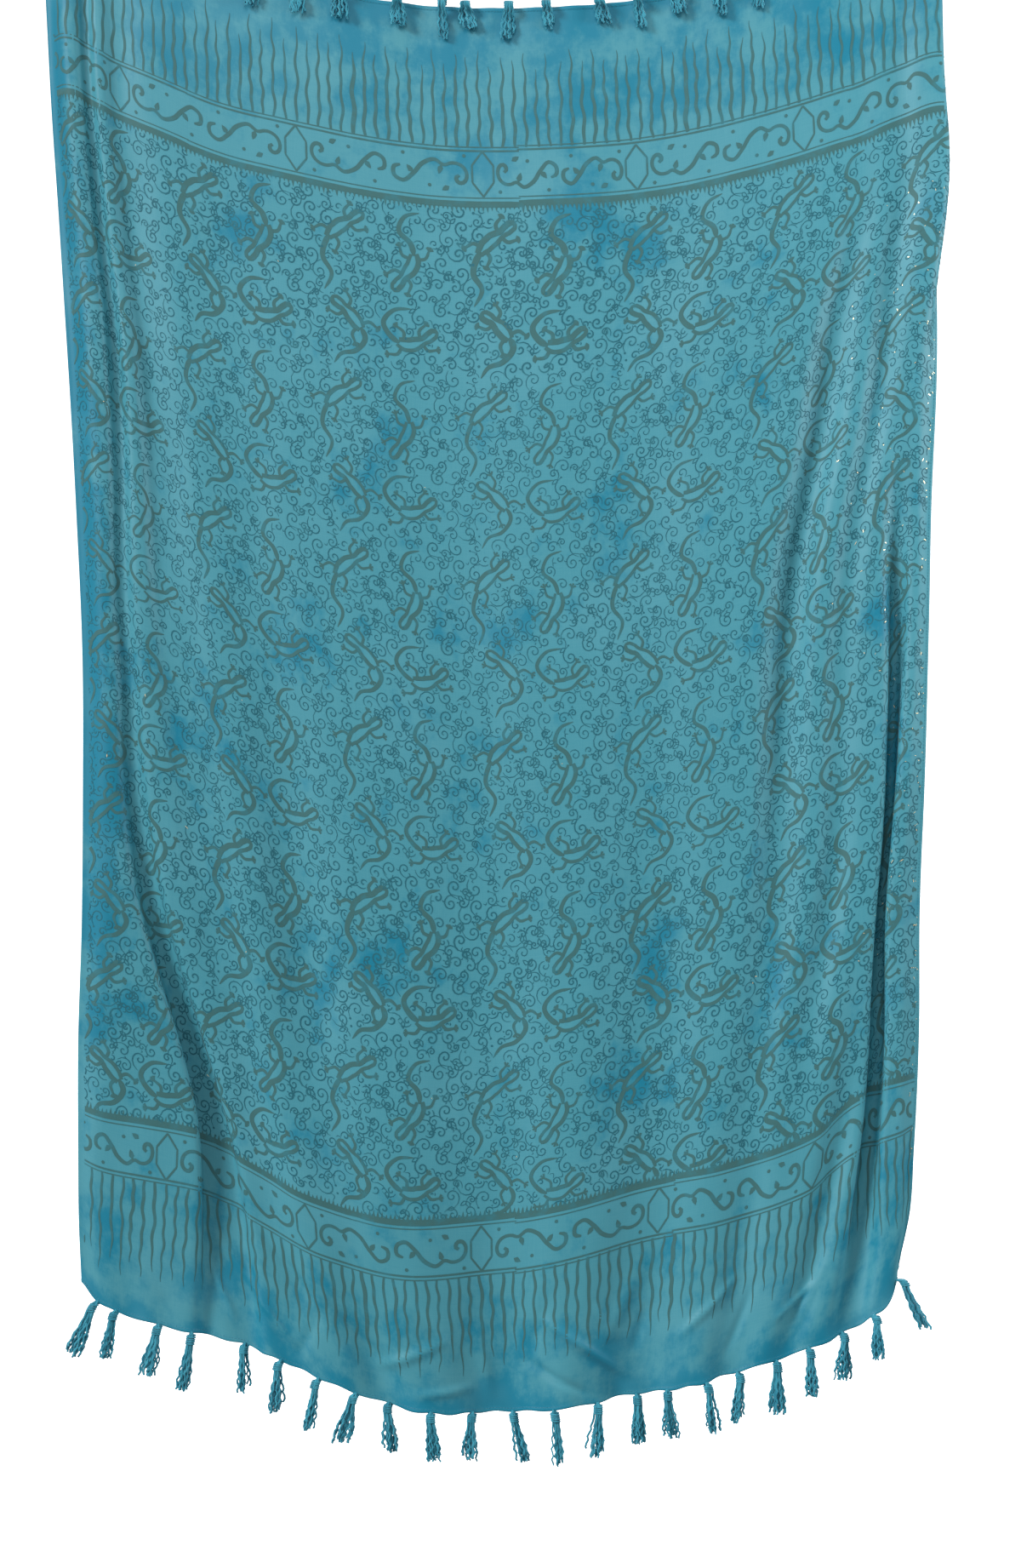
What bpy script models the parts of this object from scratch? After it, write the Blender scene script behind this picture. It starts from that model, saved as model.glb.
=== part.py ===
"""Batik sarong, hanging by its two top corners.

One rectangular length of rayon with a fringe of short tassels on both hems. The origin lies midway between
the two held corners. +X runs along the hem to the right-hand side, +Y away from the printed face, +Z up.
A place on the cloth is given as `across`, in metres from the left selvedge, and `down`, in metres from the
top hem, both measured along the cloth as it was cut.
"""

import math
from collections import namedtuple

import bpy
import numpy as np

# The cut, in metres
CLOTH_WIDTH = 1.15
CLOTH_LENGTH = 1.65
CLOTH_WALL = 0.0012
SEAM_GAP = 0.0005

# The fringe, in metres
TASSEL_HEAD_RADIUS = 0.0034
TASSEL_WAIST_RADIUS = 0.0028
TASSEL_SKIRT_RADIUS = 0.0078
TASSEL_END_RADIUS = 0.0066
TASSEL_ROOT_RADIUS = 0.0009
TASSEL_SIDES = 6
TASSEL_HEAD_SHARE = 0.09
TOP_TASSEL_RISE = 0.006
KNOT_HALF_WIDTH = 0.003
TOP_TASSEL_FLATNESS = 0.55

# Height of the left held corner over the origin. The right one is lower by twice this.
HELD_HEIGHT = 0.011

# How finely the cloth is divided: (from, to, cells), in metres across and down
COLUMNS = ((0.0, 0.30, 27), (0.30, 0.92, 10), (0.92, 1.15, 19))
ROWS = ((0.0, 0.20, 5), (0.20, 1.15, 14), (1.15, 1.65, 11))
TRACE_STEP = 0.001
ACROSS = np.array([1.0, 0.0, 0.0])
BACKWARD = np.array([0.0, 1.0, 0.0])

# The outline of the hanging cloth: how far down, then where its left and right selvedges hang
Outline = namedtuple("Outline", "down left right")
OUTLINE = (
    Outline(0.00, -0.544, 0.488),
    Outline(0.18, -0.535, 0.494),
    Outline(0.36, -0.524, 0.511),
    Outline(0.54, -0.511, 0.511),
    Outline(0.72, -0.500, 0.504),
    Outline(0.90, -0.492, 0.500),
    Outline(1.05, -0.492, 0.496),
    Outline(1.20, -0.494, 0.491),
    Outline(1.35, -0.499, 0.491),
    Outline(1.50, -0.499, 0.485),
    Outline(1.58, -0.498, 0.480),
    Outline(1.65, -0.495, 0.465),
)

# How far each crosswise thread sags under the height of the left held corner. The stations run across the
# cloth, and each row below holds the sag at those stations for one thread.
STATIONS = (0.0, 0.03, 0.09, 0.16, 0.24, 0.32, 0.44, 0.57, 0.70, 0.82, 0.92, 1.00, 1.06, 1.115, 1.15)
Sag = namedtuple("Sag", "down at_stations")
SAGS = (
    Sag(0.00, (.006, .000, .022, .052, .082, .100, .123, .132, .126, .107, .081, .058, .034, .022, .040)),
    Sag(0.20, (.000, .000, .022, .050, .080, .100, .123, .132, .126, .107, .081, .055, .032, .022, .045)),
    Sag(0.80, (.000, .004, .018, .045, .075, .099, .124, .133, .125, .104, .078, .052, .030, .010, .004)),
    Sag(1.30, (.000, .006, .018, .036, .062, .093, .127, .136, .123, .101, .075, .050, .028, .000, -.010)),
    Sag(1.65, (-.020, .001, .024, .040, .060, .089, .128, .136, .122, .104, .078, .054, .031, -.002, -.036)),
)

# The folds. A crosswise thread starts out along +X. At a flank it turns away from the viewer by the given
# angle (or towards the viewer where that is negative) and straightens again, and at a turn it keeps the
# new heading. Two flanks of opposite sign make a ridge or a valley. Each fold gives its place across and its
# angle in degrees at each of the levels.
LEVELS = (0.0, 0.25, 0.55, 0.85, 1.15, 1.40, 1.65)
Fold = namedtuple("Fold", "name kind half_width across angles")
FOLDS = (
    Fold("left edge rolls away", "flank", 0.017,
         (.018, .019, .022, .018, .016, .014, .016), (-50, -58, -50, -42, -32, -24, -26)),
    Fold("left ridge falls", "flank", 0.011,
         (.050, .054, .065, .054, .075, .160, .168), (46, 60, 58, 46, 64, 128, 38)),
    Fold("second ridge rises", "flank", 0.012,
         (.069, .073, .087, .077, .112, .222, .250), (-46, -60, -56, -40, -54, -80, -34)),
    Fold("second ridge falls", "flank", 0.013,
         (.088, .095, .114, .112, .158, .262, .300), (36, 46, 46, 28, 14, 0, 0)),
    Fold("left panel recovers", "flank", 0.030,
         (.125, .132, .160, .180, .225, .300, .340), (-12, -18, -21, -15, -20, -32, -18)),
    Fold("soft trough falls", "flank", 0.030,
         (.200, .200, .210, .225, .262, .330, .380), (0, 6, 10, 16, 24, 14, 22)),
    Fold("soft trough rises", "flank", 0.035,
         (.270, .270, .280, .300, .335, .400, .450), (0, -6, -10, -15, -22, -14, -24)),
    Fold("middle swell falls", "flank", 0.050,
         (.430, .440, .450, .460, .480, .500, .520), (3, 5, 9, 13, 14, 16, 25)),
    Fold("middle swell rises", "flank", 0.050,
         (.560, .560, .560, .570, .590, .610, .615), (-3, -6, -9, -13, -15, -18, -29)),
    Fold("right swell falls", "flank", 0.045,
         (.690, .690, .690, .690, .700, .710, .705), (3, 6, 10, 14, 17, 19, 28)),
    Fold("right swell rises", "flank", 0.045,
         (.800, .800, .800, .790, .790, .800, .790), (-3, -7, -11, -15, -18, -20, -26)),
    Fold("long valley falls", "flank", 0.022,
         (.985, .985, .972, .905, .870, .860, .855), (10, 18, 38, 38, 24, 20, 26)),
    Fold("long valley rises", "flank", 0.024,
         (1.020, 1.020, 1.012, .952, .918, .905, .900), (-10, -18, -38, -38, -26, -22, -30)),
    Fold("side valley falls", "flank", 0.018,
         (1.040, 1.034, 1.056, .990, .950, .925, .905), (12, 22, 30, 26, 30, 12, 0)),
    Fold("side valley rises", "flank", 0.016,
         (1.072, 1.066, 1.088, 1.024, .984, .955, .935), (-14, -26, -32, -26, -28, -10, 0)),
    Fold("low valley falls", "flank", 0.018,
         (1.030, 1.030, 1.030, 1.030, 1.012, .985, .938), (0, 0, 0, 0, 0, 34, 26)),
    Fold("low valley rises", "flank", 0.016,
         (1.062, 1.062, 1.062, 1.062, 1.044, 1.018, .972), (0, 0, 0, 0, 0, -32, -26)),
    Fold("right recess falls", "flank", 0.014,
         (1.086, 1.086, 1.098, 1.080, 1.048, 1.040, 1.020), (0, 0, 0, 76, 104, 92, 30)),
    Fold("right recess rises", "flank", 0.015,
         (1.116, 1.116, 1.122, 1.112, 1.092, 1.086, 1.070), (0, 0, 0, -74, -116, -98, -36)),
    Fold("right edge rolls away", "flank", 0.014,
         (1.140, 1.140, 1.136, 1.136, 1.134, 1.134, 1.128), (0, 0, 36, 30, 34, 38, 40)),
    Fold("right edge turns back", "turn", 0.011,
         (1.112, 1.113, 1.140, 1.150, 1.150, 1.150, 1.150), (168, 168, 0, 0, 0, 0, 0)),
)

# Where the middle of the cloth hangs in depth, at the same levels: it bellies a little towards the viewer
BELLY = (0.000, -0.008, -0.014, -0.016, -0.012, -0.006, 0.004)

# The lower fringe: millimetres across the hem to each knot, how far the end swings sideways, and its reach
Tassel = namedtuple("Tassel", "across_mm sway_mm reach_mm")
LOWER_FRINGE = (
    Tassel(30, -30, 66), Tassel(57, -13, 56), Tassel(113, -14, 60), Tassel(155, -12, 68), Tassel(226, -2, 58),
    Tassel(277, -7, 61), Tassel(328, -14, 61), Tassel(379, -16, 58), Tassel(424, 2, 58), Tassel(480, 5, 57),
    Tassel(535, -2, 57), Tassel(587, 13, 59), Tassel(643, 5, 65), Tassel(700, -4, 63), Tassel(754, 1, 59),
    Tassel(795, 6, 56), Tassel(846, 7, 59), Tassel(890, -1, 60), Tassel(942, 3, 64), Tassel(987, 6, 57),
    Tassel(1035, 0, 56), Tassel(1083, 6, 52), Tassel(1137, 36, 58),
)
# The upper fringe flops over the hem on to the printed face, so its reach is down from the hem
UPPER_FRINGE = (
    Tassel(24, 2, 40), Tassel(75, 3, 42), Tassel(126, 4, 38), Tassel(178, 3, 44), Tassel(230, 5, 36),
    Tassel(281, 2, 40), Tassel(333, 4, 38), Tassel(386, 1, 34), Tassel(455, 2, 30), Tassel(508, 4, 40),
    Tassel(535, 6, 27), Tassel(586, -2, 38), Tassel(630, 5, 28), Tassel(692, 6, 25), Tassel(737, 7, 34),
    Tassel(783, 6, 26), Tassel(834, 2, 38), Tassel(882, -2, 42), Tassel(931, -3, 36), Tassel(980, -2, 40),
    Tassel(1029, -4, 38), Tassel(1072, -3, 42), Tassel(1096, -2, 36),
)

CLOTH_COLOUR = (0.080, 0.270, 0.330, 1.0)
TASSEL_COLOUR = (0.030, 0.144, 0.178, 1.0)
CLOTH_ROUGHNESS = 0.62
TASSEL_ROUGHNESS = 0.85


def clear_scene():
    for leftover in list(bpy.data.objects):
        bpy.data.objects.remove(leftover, do_unlink=True)


def through(places, values, at):
    """A smooth curve through (places, values), read at `at`. The last axis of values runs over the places."""
    places = np.asarray(places, float)
    values = np.asarray(values, float)
    at = np.clip(np.asarray(at, float), places[0], places[-1])
    slope = np.gradient(values, places, axis=-1)
    left = np.clip(np.searchsorted(places, at, side="right") - 1, 0, len(places) - 2)
    span = places[left + 1] - places[left]
    t = (at - places[left]) / span
    start = values[..., left] * (1 + 2 * t) * (1 - t) ** 2
    end = values[..., left + 1] * t * t * (3 - 2 * t)
    leaving = slope[..., left] * span * t * (1 - t) ** 2
    arriving = slope[..., left + 1] * span * t * t * (t - 1)
    return start + end + leaving + arriving


def sag_along(across, down):
    """The sag of the crosswise thread at one depth, at each place across."""
    rows = np.array([row.at_stations for row in SAGS]).T
    at_this_depth = through([row.down for row in SAGS], rows, down)
    return through(STATIONS, at_this_depth, across)


def heading_along(across, down):
    """The thread's heading in the horizontal plane, in radians: 0 along +X, a right angle straight back."""
    heading = np.zeros_like(across)
    for fold in FOLDS:
        centre = float(through(LEVELS, fold.across, down))
        angle = math.radians(float(through(LEVELS, fold.angles, down)))
        offset = (across - centre) / fold.half_width
        if fold.kind == "flank":
            heading += angle * np.exp(-offset**2)
        else:
            eased = np.clip((offset + 1) / 2, 0, 1)
            heading += angle * eased * eased * (3 - 2 * eased)
    return heading


def thread_at(down, across):
    """Points on the middle of the cloth along one crosswise thread, traced from selvedge to selvedge."""
    trace = np.arange(0.0, CLOTH_WIDTH + TRACE_STEP / 2, TRACE_STEP)
    sag = sag_along(trace, down)
    slope = np.gradient(sag, TRACE_STEP)
    level_share = np.sqrt(np.maximum(1 - slope**2, 0))
    heading = heading_along(trace, down)
    step_x = level_share * np.cos(heading) * TRACE_STEP
    step_y = level_share * np.sin(heading) * TRACE_STEP
    run = np.concatenate([[0], np.cumsum((step_x[1:] + step_x[:-1]) / 2)])
    depth = np.concatenate([[0], np.cumsum((step_y[1:] + step_y[:-1]) / 2)])
    downs = [row.down for row in OUTLINE]
    left = float(through(downs, [row.left for row in OUTLINE], down))
    right = float(through(downs, [row.right for row in OUTLINE], down))
    x = left + run * (right - left) / run[-1]
    y = depth - depth[-1] * trace / CLOTH_WIDTH
    y += float(through(LEVELS, BELLY, down)) - y.mean()
    z = HELD_HEIGHT - down - sag
    return np.stack([np.interp(across, trace, line) for line in (x, y, z)], axis=-1)


def divided(spans):
    """Grid lines for a row of (from, to, cells) spans."""
    lines = [np.linspace(start, end, cells + 1)[:-1] for start, end, cells in spans]
    return np.concatenate(lines + [[spans[-1][1]]])


def facing(grid):
    """Unit normals of a grid of points, pointing away from the printed face."""
    along = np.gradient(grid, axis=1)
    lengthwise = np.gradient(grid, axis=0)
    normal = np.cross(along, -lengthwise)
    return -normal / np.linalg.norm(normal, axis=2, keepdims=True)


def fabric(name, colour, roughness):
    material = bpy.data.materials.new(name)
    material.use_nodes = True
    shader = material.node_tree.nodes["Principled BSDF"]
    shader.inputs["Base Color"].default_value = colour
    shader.inputs["Roughness"].default_value = roughness
    shader.inputs["Metallic"].default_value = 0.0
    return material


def add_solid(name, vertices, faces, material):
    mesh = bpy.data.meshes.new(name)
    mesh.from_pydata([tuple(map(float, vertex)) for vertex in vertices], [], faces)
    mesh.materials.append(material)
    mesh.shade_smooth()
    mesh.set_sharp_from_angle(angle=math.radians(60))
    solid = bpy.data.objects.new(name, mesh)
    bpy.context.scene.collection.objects.link(solid)
    return solid


def wall_of(grid, wall):
    """A closed wall round a grid of middle points: its vertices and its faces, which point out."""
    rows, columns = grid.shape[:2]
    away = facing(grid) * wall / 2
    vertices = np.concatenate([(grid - away).reshape(-1, 3), (grid + away).reshape(-1, 3)])
    back = rows * columns

    def front_at(row, column):
        return row * columns + column

    faces = []
    for row in range(rows - 1):
        for column in range(columns - 1):
            a = front_at(row, column)
            b = front_at(row + 1, column)
            c = front_at(row + 1, column + 1)
            d = front_at(row, column + 1)
            faces.append((a, b, c, d))
            faces.append((a + back, d + back, c + back, b + back))
    rim = [front_at(0, column) for column in range(columns)]
    rim += [front_at(row, columns - 1) for row in range(1, rows)]
    rim += [front_at(rows - 1, column) for column in range(columns - 2, -1, -1)]
    rim += [front_at(row, 0) for row in range(rows - 2, 0, -1)]
    for here, after in zip(rim, rim[1:] + rim[:1]):
        faces.append((here, after, after + back, here + back))
    return vertices, faces


def swept(path, radii, flatness=1.0):
    """A closed solid of rings round a path. Each ring starts on its +X side, so none is turned against the next."""
    path = np.asarray(path, float)
    tangents = np.gradient(path, axis=0)
    tangents /= np.linalg.norm(tangents, axis=1, keepdims=True)
    vertices = []
    for centre, tangent, radius in zip(path, tangents, radii):
        side = ACROSS - tangent[0] * tangent
        side /= np.linalg.norm(side)
        deep = np.cross(tangent, side)
        for corner in range(TASSEL_SIDES):
            angle = 2 * math.pi * corner / TASSEL_SIDES
            vertices.append(centre + radius * (math.cos(angle) * side + flatness * math.sin(angle) * deep))
    faces = [tuple(range(TASSEL_SIDES))[::-1]]
    for ring in range(len(path) - 1):
        for corner in range(TASSEL_SIDES):
            here = ring * TASSEL_SIDES + corner
            after = ring * TASSEL_SIDES + (corner + 1) % TASSEL_SIDES
            faces.append((here, after, after + TASSEL_SIDES, here + TASSEL_SIDES))
    last = (len(path) - 1) * TASSEL_SIDES
    faces.append(tuple(last + corner for corner in range(TASSEL_SIDES)))
    return vertices, faces


def off_the_hem(across, down):
    """A point on the hem of the solid, and the unit direction straight off its edge in the hanging plane."""
    lines = divided(COLUMNS)
    hem = thread_at(down, lines)
    places = across + np.array([-KNOT_HALF_WIDTH, 0.0, KNOT_HALF_WIDTH])
    before, knot, after = np.stack([np.interp(places, lines, axis) for axis in hem.T], axis=-1)
    run, climb = after[0] - before[0], after[2] - before[2]
    off = np.array([climb, 0.0, -run]) / math.hypot(run, climb)
    return knot, off if down > CLOTH_LENGTH / 2 else -off


def lower_tassel(tassel):
    """Leaves the hem square to its edge for the height of the knot, and hangs straight from there."""
    knot, off = off_the_hem(tassel.across_mm / 1000, CLOTH_LENGTH)
    sway, reach = tassel.sway_mm / 1000, tassel.reach_mm / 1000
    root = knot + off * SEAM_GAP
    head = root + off * TASSEL_HEAD_SHARE * reach
    end = knot + np.array([sway, 0.0, -reach])
    path = [root] + [head + (end - head) * share for share in (0.0, 0.22, 0.60, 1.0)]
    radii = (
        TASSEL_ROOT_RADIUS,
        TASSEL_HEAD_RADIUS,
        TASSEL_WAIST_RADIUS,
        TASSEL_SKIRT_RADIUS,
        TASSEL_END_RADIUS,
    )
    return swept(path, radii)


def upper_tassel(tassel):
    """Rises from the hem, tips forward over it and hangs down in front of the cloth."""
    across = tassel.across_mm / 1000
    sway, reach = tassel.sway_mm / 1000, tassel.reach_mm / 1000
    knot, off = off_the_hem(across, 0.0)
    clear = CLOTH_WALL + SEAM_GAP
    radii = [TASSEL_ROOT_RADIUS, TASSEL_WAIST_RADIUS, TASSEL_WAIST_RADIUS]
    path = [
        knot + off * SEAM_GAP,
        knot + off * TOP_TASSEL_RISE - BACKWARD * TASSEL_WAIST_RADIUS,
        knot + off * 0.4 * TOP_TASSEL_RISE - BACKWARD * 2.6 * TASSEL_WAIST_RADIUS,
    ]
    for share, radius in ((0.35, TASSEL_HEAD_RADIUS), (0.75, TASSEL_SKIRT_RADIUS), (1.0, TASSEL_END_RADIUS)):
        span = np.clip(across + np.linspace(-radius, radius, 5) * 1.5, 0, CLOTH_WIDTH)
        foremost = thread_at(max(reach * share, 0.0), span)[:, 1].min()
        forward = knot[1] - foremost + clear + radius * TOP_TASSEL_FLATNESS
        path.append(knot + np.array([sway * share, -forward, -reach * share]))
        radii.append(radius)
    return swept(path, radii, TOP_TASSEL_FLATNESS)


def build_cloth():
    across = divided(COLUMNS)
    grid = np.array([thread_at(down, across) for down in divided(ROWS)])
    vertices, faces = wall_of(grid, CLOTH_WALL)
    material = fabric("rayon_turquoise", CLOTH_COLOUR, CLOTH_ROUGHNESS)
    return add_solid("cloth", vertices, faces, material)


def build_fringe():
    material = fabric("fringe_yarn", TASSEL_COLOUR, TASSEL_ROUGHNESS)
    for hem, fringe, shape in (("bottom", LOWER_FRINGE, lower_tassel), ("top", UPPER_FRINGE, upper_tassel)):
        for number, tassel in enumerate(fringe, start=1):
            vertices, faces = shape(tassel)
            add_solid(f"tassel_{hem}_{number:02d}", vertices, faces, material)


def main():
    clear_scene()
    build_cloth()
    build_fringe()


main()
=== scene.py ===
"""The looks of a batik sarong that hangs by its two top corners.

A place on the cloth is (across, down): metres from the left selvedge and from the top hem, measured along
the cloth as it was cut. The cloth is traced from the same outline, sags and folds as the solid that it
stands for. The print is drawn flat in (across, down) and laid on the cloth. Motif sizes are in millimetres.
"""

import math
from collections import namedtuple

import bpy
import numpy as np
from bpy.props import FloatProperty, FloatVectorProperty, IntProperty, PointerProperty
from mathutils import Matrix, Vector


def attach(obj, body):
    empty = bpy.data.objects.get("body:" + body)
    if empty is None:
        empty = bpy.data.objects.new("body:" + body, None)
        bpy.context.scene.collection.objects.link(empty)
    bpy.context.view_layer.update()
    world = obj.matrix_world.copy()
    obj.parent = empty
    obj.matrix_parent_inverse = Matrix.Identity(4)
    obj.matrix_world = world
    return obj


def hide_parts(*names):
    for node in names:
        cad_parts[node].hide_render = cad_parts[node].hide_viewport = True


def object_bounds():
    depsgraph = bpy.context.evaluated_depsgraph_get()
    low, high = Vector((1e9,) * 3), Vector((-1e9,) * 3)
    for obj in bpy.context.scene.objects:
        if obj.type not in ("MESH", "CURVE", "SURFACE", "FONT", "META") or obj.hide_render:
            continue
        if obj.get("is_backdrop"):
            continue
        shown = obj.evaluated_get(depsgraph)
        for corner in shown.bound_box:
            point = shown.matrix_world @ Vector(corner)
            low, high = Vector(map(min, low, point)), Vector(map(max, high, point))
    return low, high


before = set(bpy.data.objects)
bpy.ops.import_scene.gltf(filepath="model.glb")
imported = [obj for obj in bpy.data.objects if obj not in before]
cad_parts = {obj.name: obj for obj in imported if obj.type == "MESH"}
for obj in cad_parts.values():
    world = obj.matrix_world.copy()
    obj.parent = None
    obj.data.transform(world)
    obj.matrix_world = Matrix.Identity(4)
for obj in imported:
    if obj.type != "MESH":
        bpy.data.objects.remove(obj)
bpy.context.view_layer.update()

bl_info = {
    "name": "Batik Sarong",
    "version": (1, 0, 0),
    "blender": (4, 5, 0),
    "location": "View3D > Sidebar > Sarong",
    "description": "Builds a hanging batik sarong with its print and fringe, and the studio round it",
    "category": "Object",
}

MM = 0.001
MATH = "ShaderNodeMath"
RANGE = "ShaderNodeMapRange"

# The cut and the way it hangs, in metres
CLOTH_WIDTH = 1.15
CLOTH_LENGTH = 1.65
HELD_HEIGHT = 0.011
TRACE_STEP = 0.001
# The faces of the cloth: its normals point out of the printed front, and into the back
SIDES = (("front", 1), ("back", -1))
# Heights of the soft ripples, and how the hems are rolled, pucker and waver
RIPPLE_HEIGHT = 0.35 * MM
FINE_RIPPLE_HEIGHT = 0.25 * MM
PUCKER_HEIGHT = 1.3 * MM
PUCKER_REACH = 0.030
HEM_WAVER = 1.1 * MM
HEM_WAVER_REACH = 0.015
HEM_MIDDLE = 2.4 * MM
HEM_ROLL = 1.9 * MM
SELVEDGE = 2.5 * MM

# Where the cloth is divided: (from, to, cells), finest in the folds and in the rolled hems
COLUMNS = ((0.0, 0.006, 3), (0.006, 0.32, 96), (0.32, 0.86, 98), (0.86, 1.144, 96), (1.144, 1.15, 3))
ROWS = ((0.0, 0.006, 5), (0.006, 0.30, 24), (0.30, 1.10, 62), (1.10, 1.52, 35), (1.52, 1.644, 34),
        (1.644, 1.65, 5))

Outline = namedtuple("Outline", "down left right")
OUTLINE = [Outline(*row) for row in (
    (0.00, -0.544, 0.488), (0.18, -0.535, 0.494), (0.36, -0.524, 0.511),
    (0.54, -0.511, 0.511), (0.72, -0.500, 0.504), (0.90, -0.492, 0.500),
    (1.05, -0.492, 0.496), (1.20, -0.494, 0.491), (1.35, -0.499, 0.491),
    (1.50, -0.499, 0.485), (1.58, -0.498, 0.480), (1.65, -0.495, 0.465),
)]
STATIONS = (0.0, 0.03, 0.09, 0.16, 0.24, 0.32, 0.44, 0.57, 0.70, 0.82, 0.92, 1.00, 1.06, 1.115, 1.15)
Sag = namedtuple("Sag", "down at_stations")
SAGS = [Sag(*row) for row in (
    (0.00, (.006, .000, .022, .052, .082, .100, .123, .132, .126, .107, .081, .058, .034, .022, .040)),
    (0.20, (.000, .000, .022, .050, .080, .100, .123, .132, .126, .107, .081, .055, .032, .022, .045)),
    (0.80, (.000, .004, .018, .045, .075, .099, .124, .133, .125, .104, .078, .052, .030, .010, .004)),
    (1.30, (.000, .006, .018, .036, .062, .093, .127, .136, .123, .101, .075, .050, .028, .000, -.010)),
    (1.65, (-.020, .001, .024, .040, .060, .089, .128, .136, .122, .104, .078, .054, .031, -.002, -.036)),
)]

# The folds of each crosswise thread: a flank turns it and straightens it again, a turn keeps the new heading
LEVELS = (0.0, 0.25, 0.55, 0.85, 1.15, 1.40, 1.65)
Fold = namedtuple("Fold", "name kind half_width across angles")
FOLDS = [Fold(*row) for row in (
    ("left edge rolls away", "flank", 0.017,
         (.018, .019, .022, .018, .016, .014, .016), (-50, -58, -50, -42, -32, -24, -26)),
    ("left ridge falls", "flank", 0.011,
         (.050, .054, .065, .054, .075, .160, .168), (46, 60, 58, 46, 64, 128, 38)),
    ("second ridge rises", "flank", 0.012,
         (.069, .073, .087, .077, .112, .222, .250), (-46, -60, -56, -40, -54, -80, -34)),
    ("second ridge falls", "flank", 0.013,
         (.088, .095, .114, .112, .158, .262, .300), (36, 46, 46, 28, 14, 0, 0)),
    ("left panel recovers", "flank", 0.030,
         (.125, .132, .160, .180, .225, .300, .340), (-12, -18, -21, -15, -20, -32, -18)),
    ("soft trough falls", "flank", 0.030,
         (.200, .200, .210, .225, .262, .330, .380), (0, 6, 10, 16, 24, 14, 22)),
    ("soft trough rises", "flank", 0.035,
         (.270, .270, .280, .300, .335, .400, .450), (0, -6, -10, -15, -22, -14, -24)),
    ("middle swell falls", "flank", 0.050,
         (.430, .440, .450, .460, .480, .500, .520), (3, 5, 9, 13, 14, 16, 25)),
    ("middle swell rises", "flank", 0.050,
         (.560, .560, .560, .570, .590, .610, .615), (-3, -6, -9, -13, -15, -18, -29)),
    ("right swell falls", "flank", 0.045,
         (.690, .690, .690, .690, .700, .710, .705), (3, 6, 10, 14, 17, 19, 28)),
    ("right swell rises", "flank", 0.045,
         (.800, .800, .800, .790, .790, .800, .790), (-3, -7, -11, -15, -18, -20, -26)),
    ("long valley falls", "flank", 0.022,
         (.985, .985, .972, .905, .870, .860, .855), (10, 18, 38, 38, 24, 20, 26)),
    ("long valley rises", "flank", 0.024,
         (1.020, 1.020, 1.012, .952, .918, .905, .900), (-10, -18, -38, -38, -26, -22, -30)),
    ("side valley falls", "flank", 0.018,
         (1.040, 1.034, 1.056, .990, .950, .925, .905), (12, 22, 30, 26, 30, 12, 0)),
    ("side valley rises", "flank", 0.016,
         (1.072, 1.066, 1.088, 1.024, .984, .955, .935), (-14, -26, -32, -26, -28, -10, 0)),
    ("low valley falls", "flank", 0.018,
         (1.030, 1.030, 1.030, 1.030, 1.012, .985, .938), (0, 0, 0, 0, 0, 34, 26)),
    ("low valley rises", "flank", 0.016,
         (1.062, 1.062, 1.062, 1.062, 1.044, 1.018, .972), (0, 0, 0, 0, 0, -32, -26)),
    ("right recess falls", "flank", 0.014,
         (1.086, 1.086, 1.098, 1.080, 1.048, 1.040, 1.020), (0, 0, 0, 76, 104, 92, 30)),
    ("right recess rises", "flank", 0.015,
         (1.116, 1.116, 1.122, 1.112, 1.092, 1.086, 1.070), (0, 0, 0, -74, -116, -98, -36)),
    ("right edge rolls away", "flank", 0.014,
         (1.140, 1.140, 1.136, 1.136, 1.134, 1.134, 1.128), (0, 0, 36, 30, 34, 38, 40)),
    ("right edge turns back", "turn", 0.011,
         (1.112, 1.113, 1.140, 1.150, 1.150, 1.150, 1.150), (168, 168, 0, 0, 0, 0, 0)),
)]
BELLY = (0.000, -0.008, -0.014, -0.016, -0.012, -0.006, 0.004)

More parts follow.
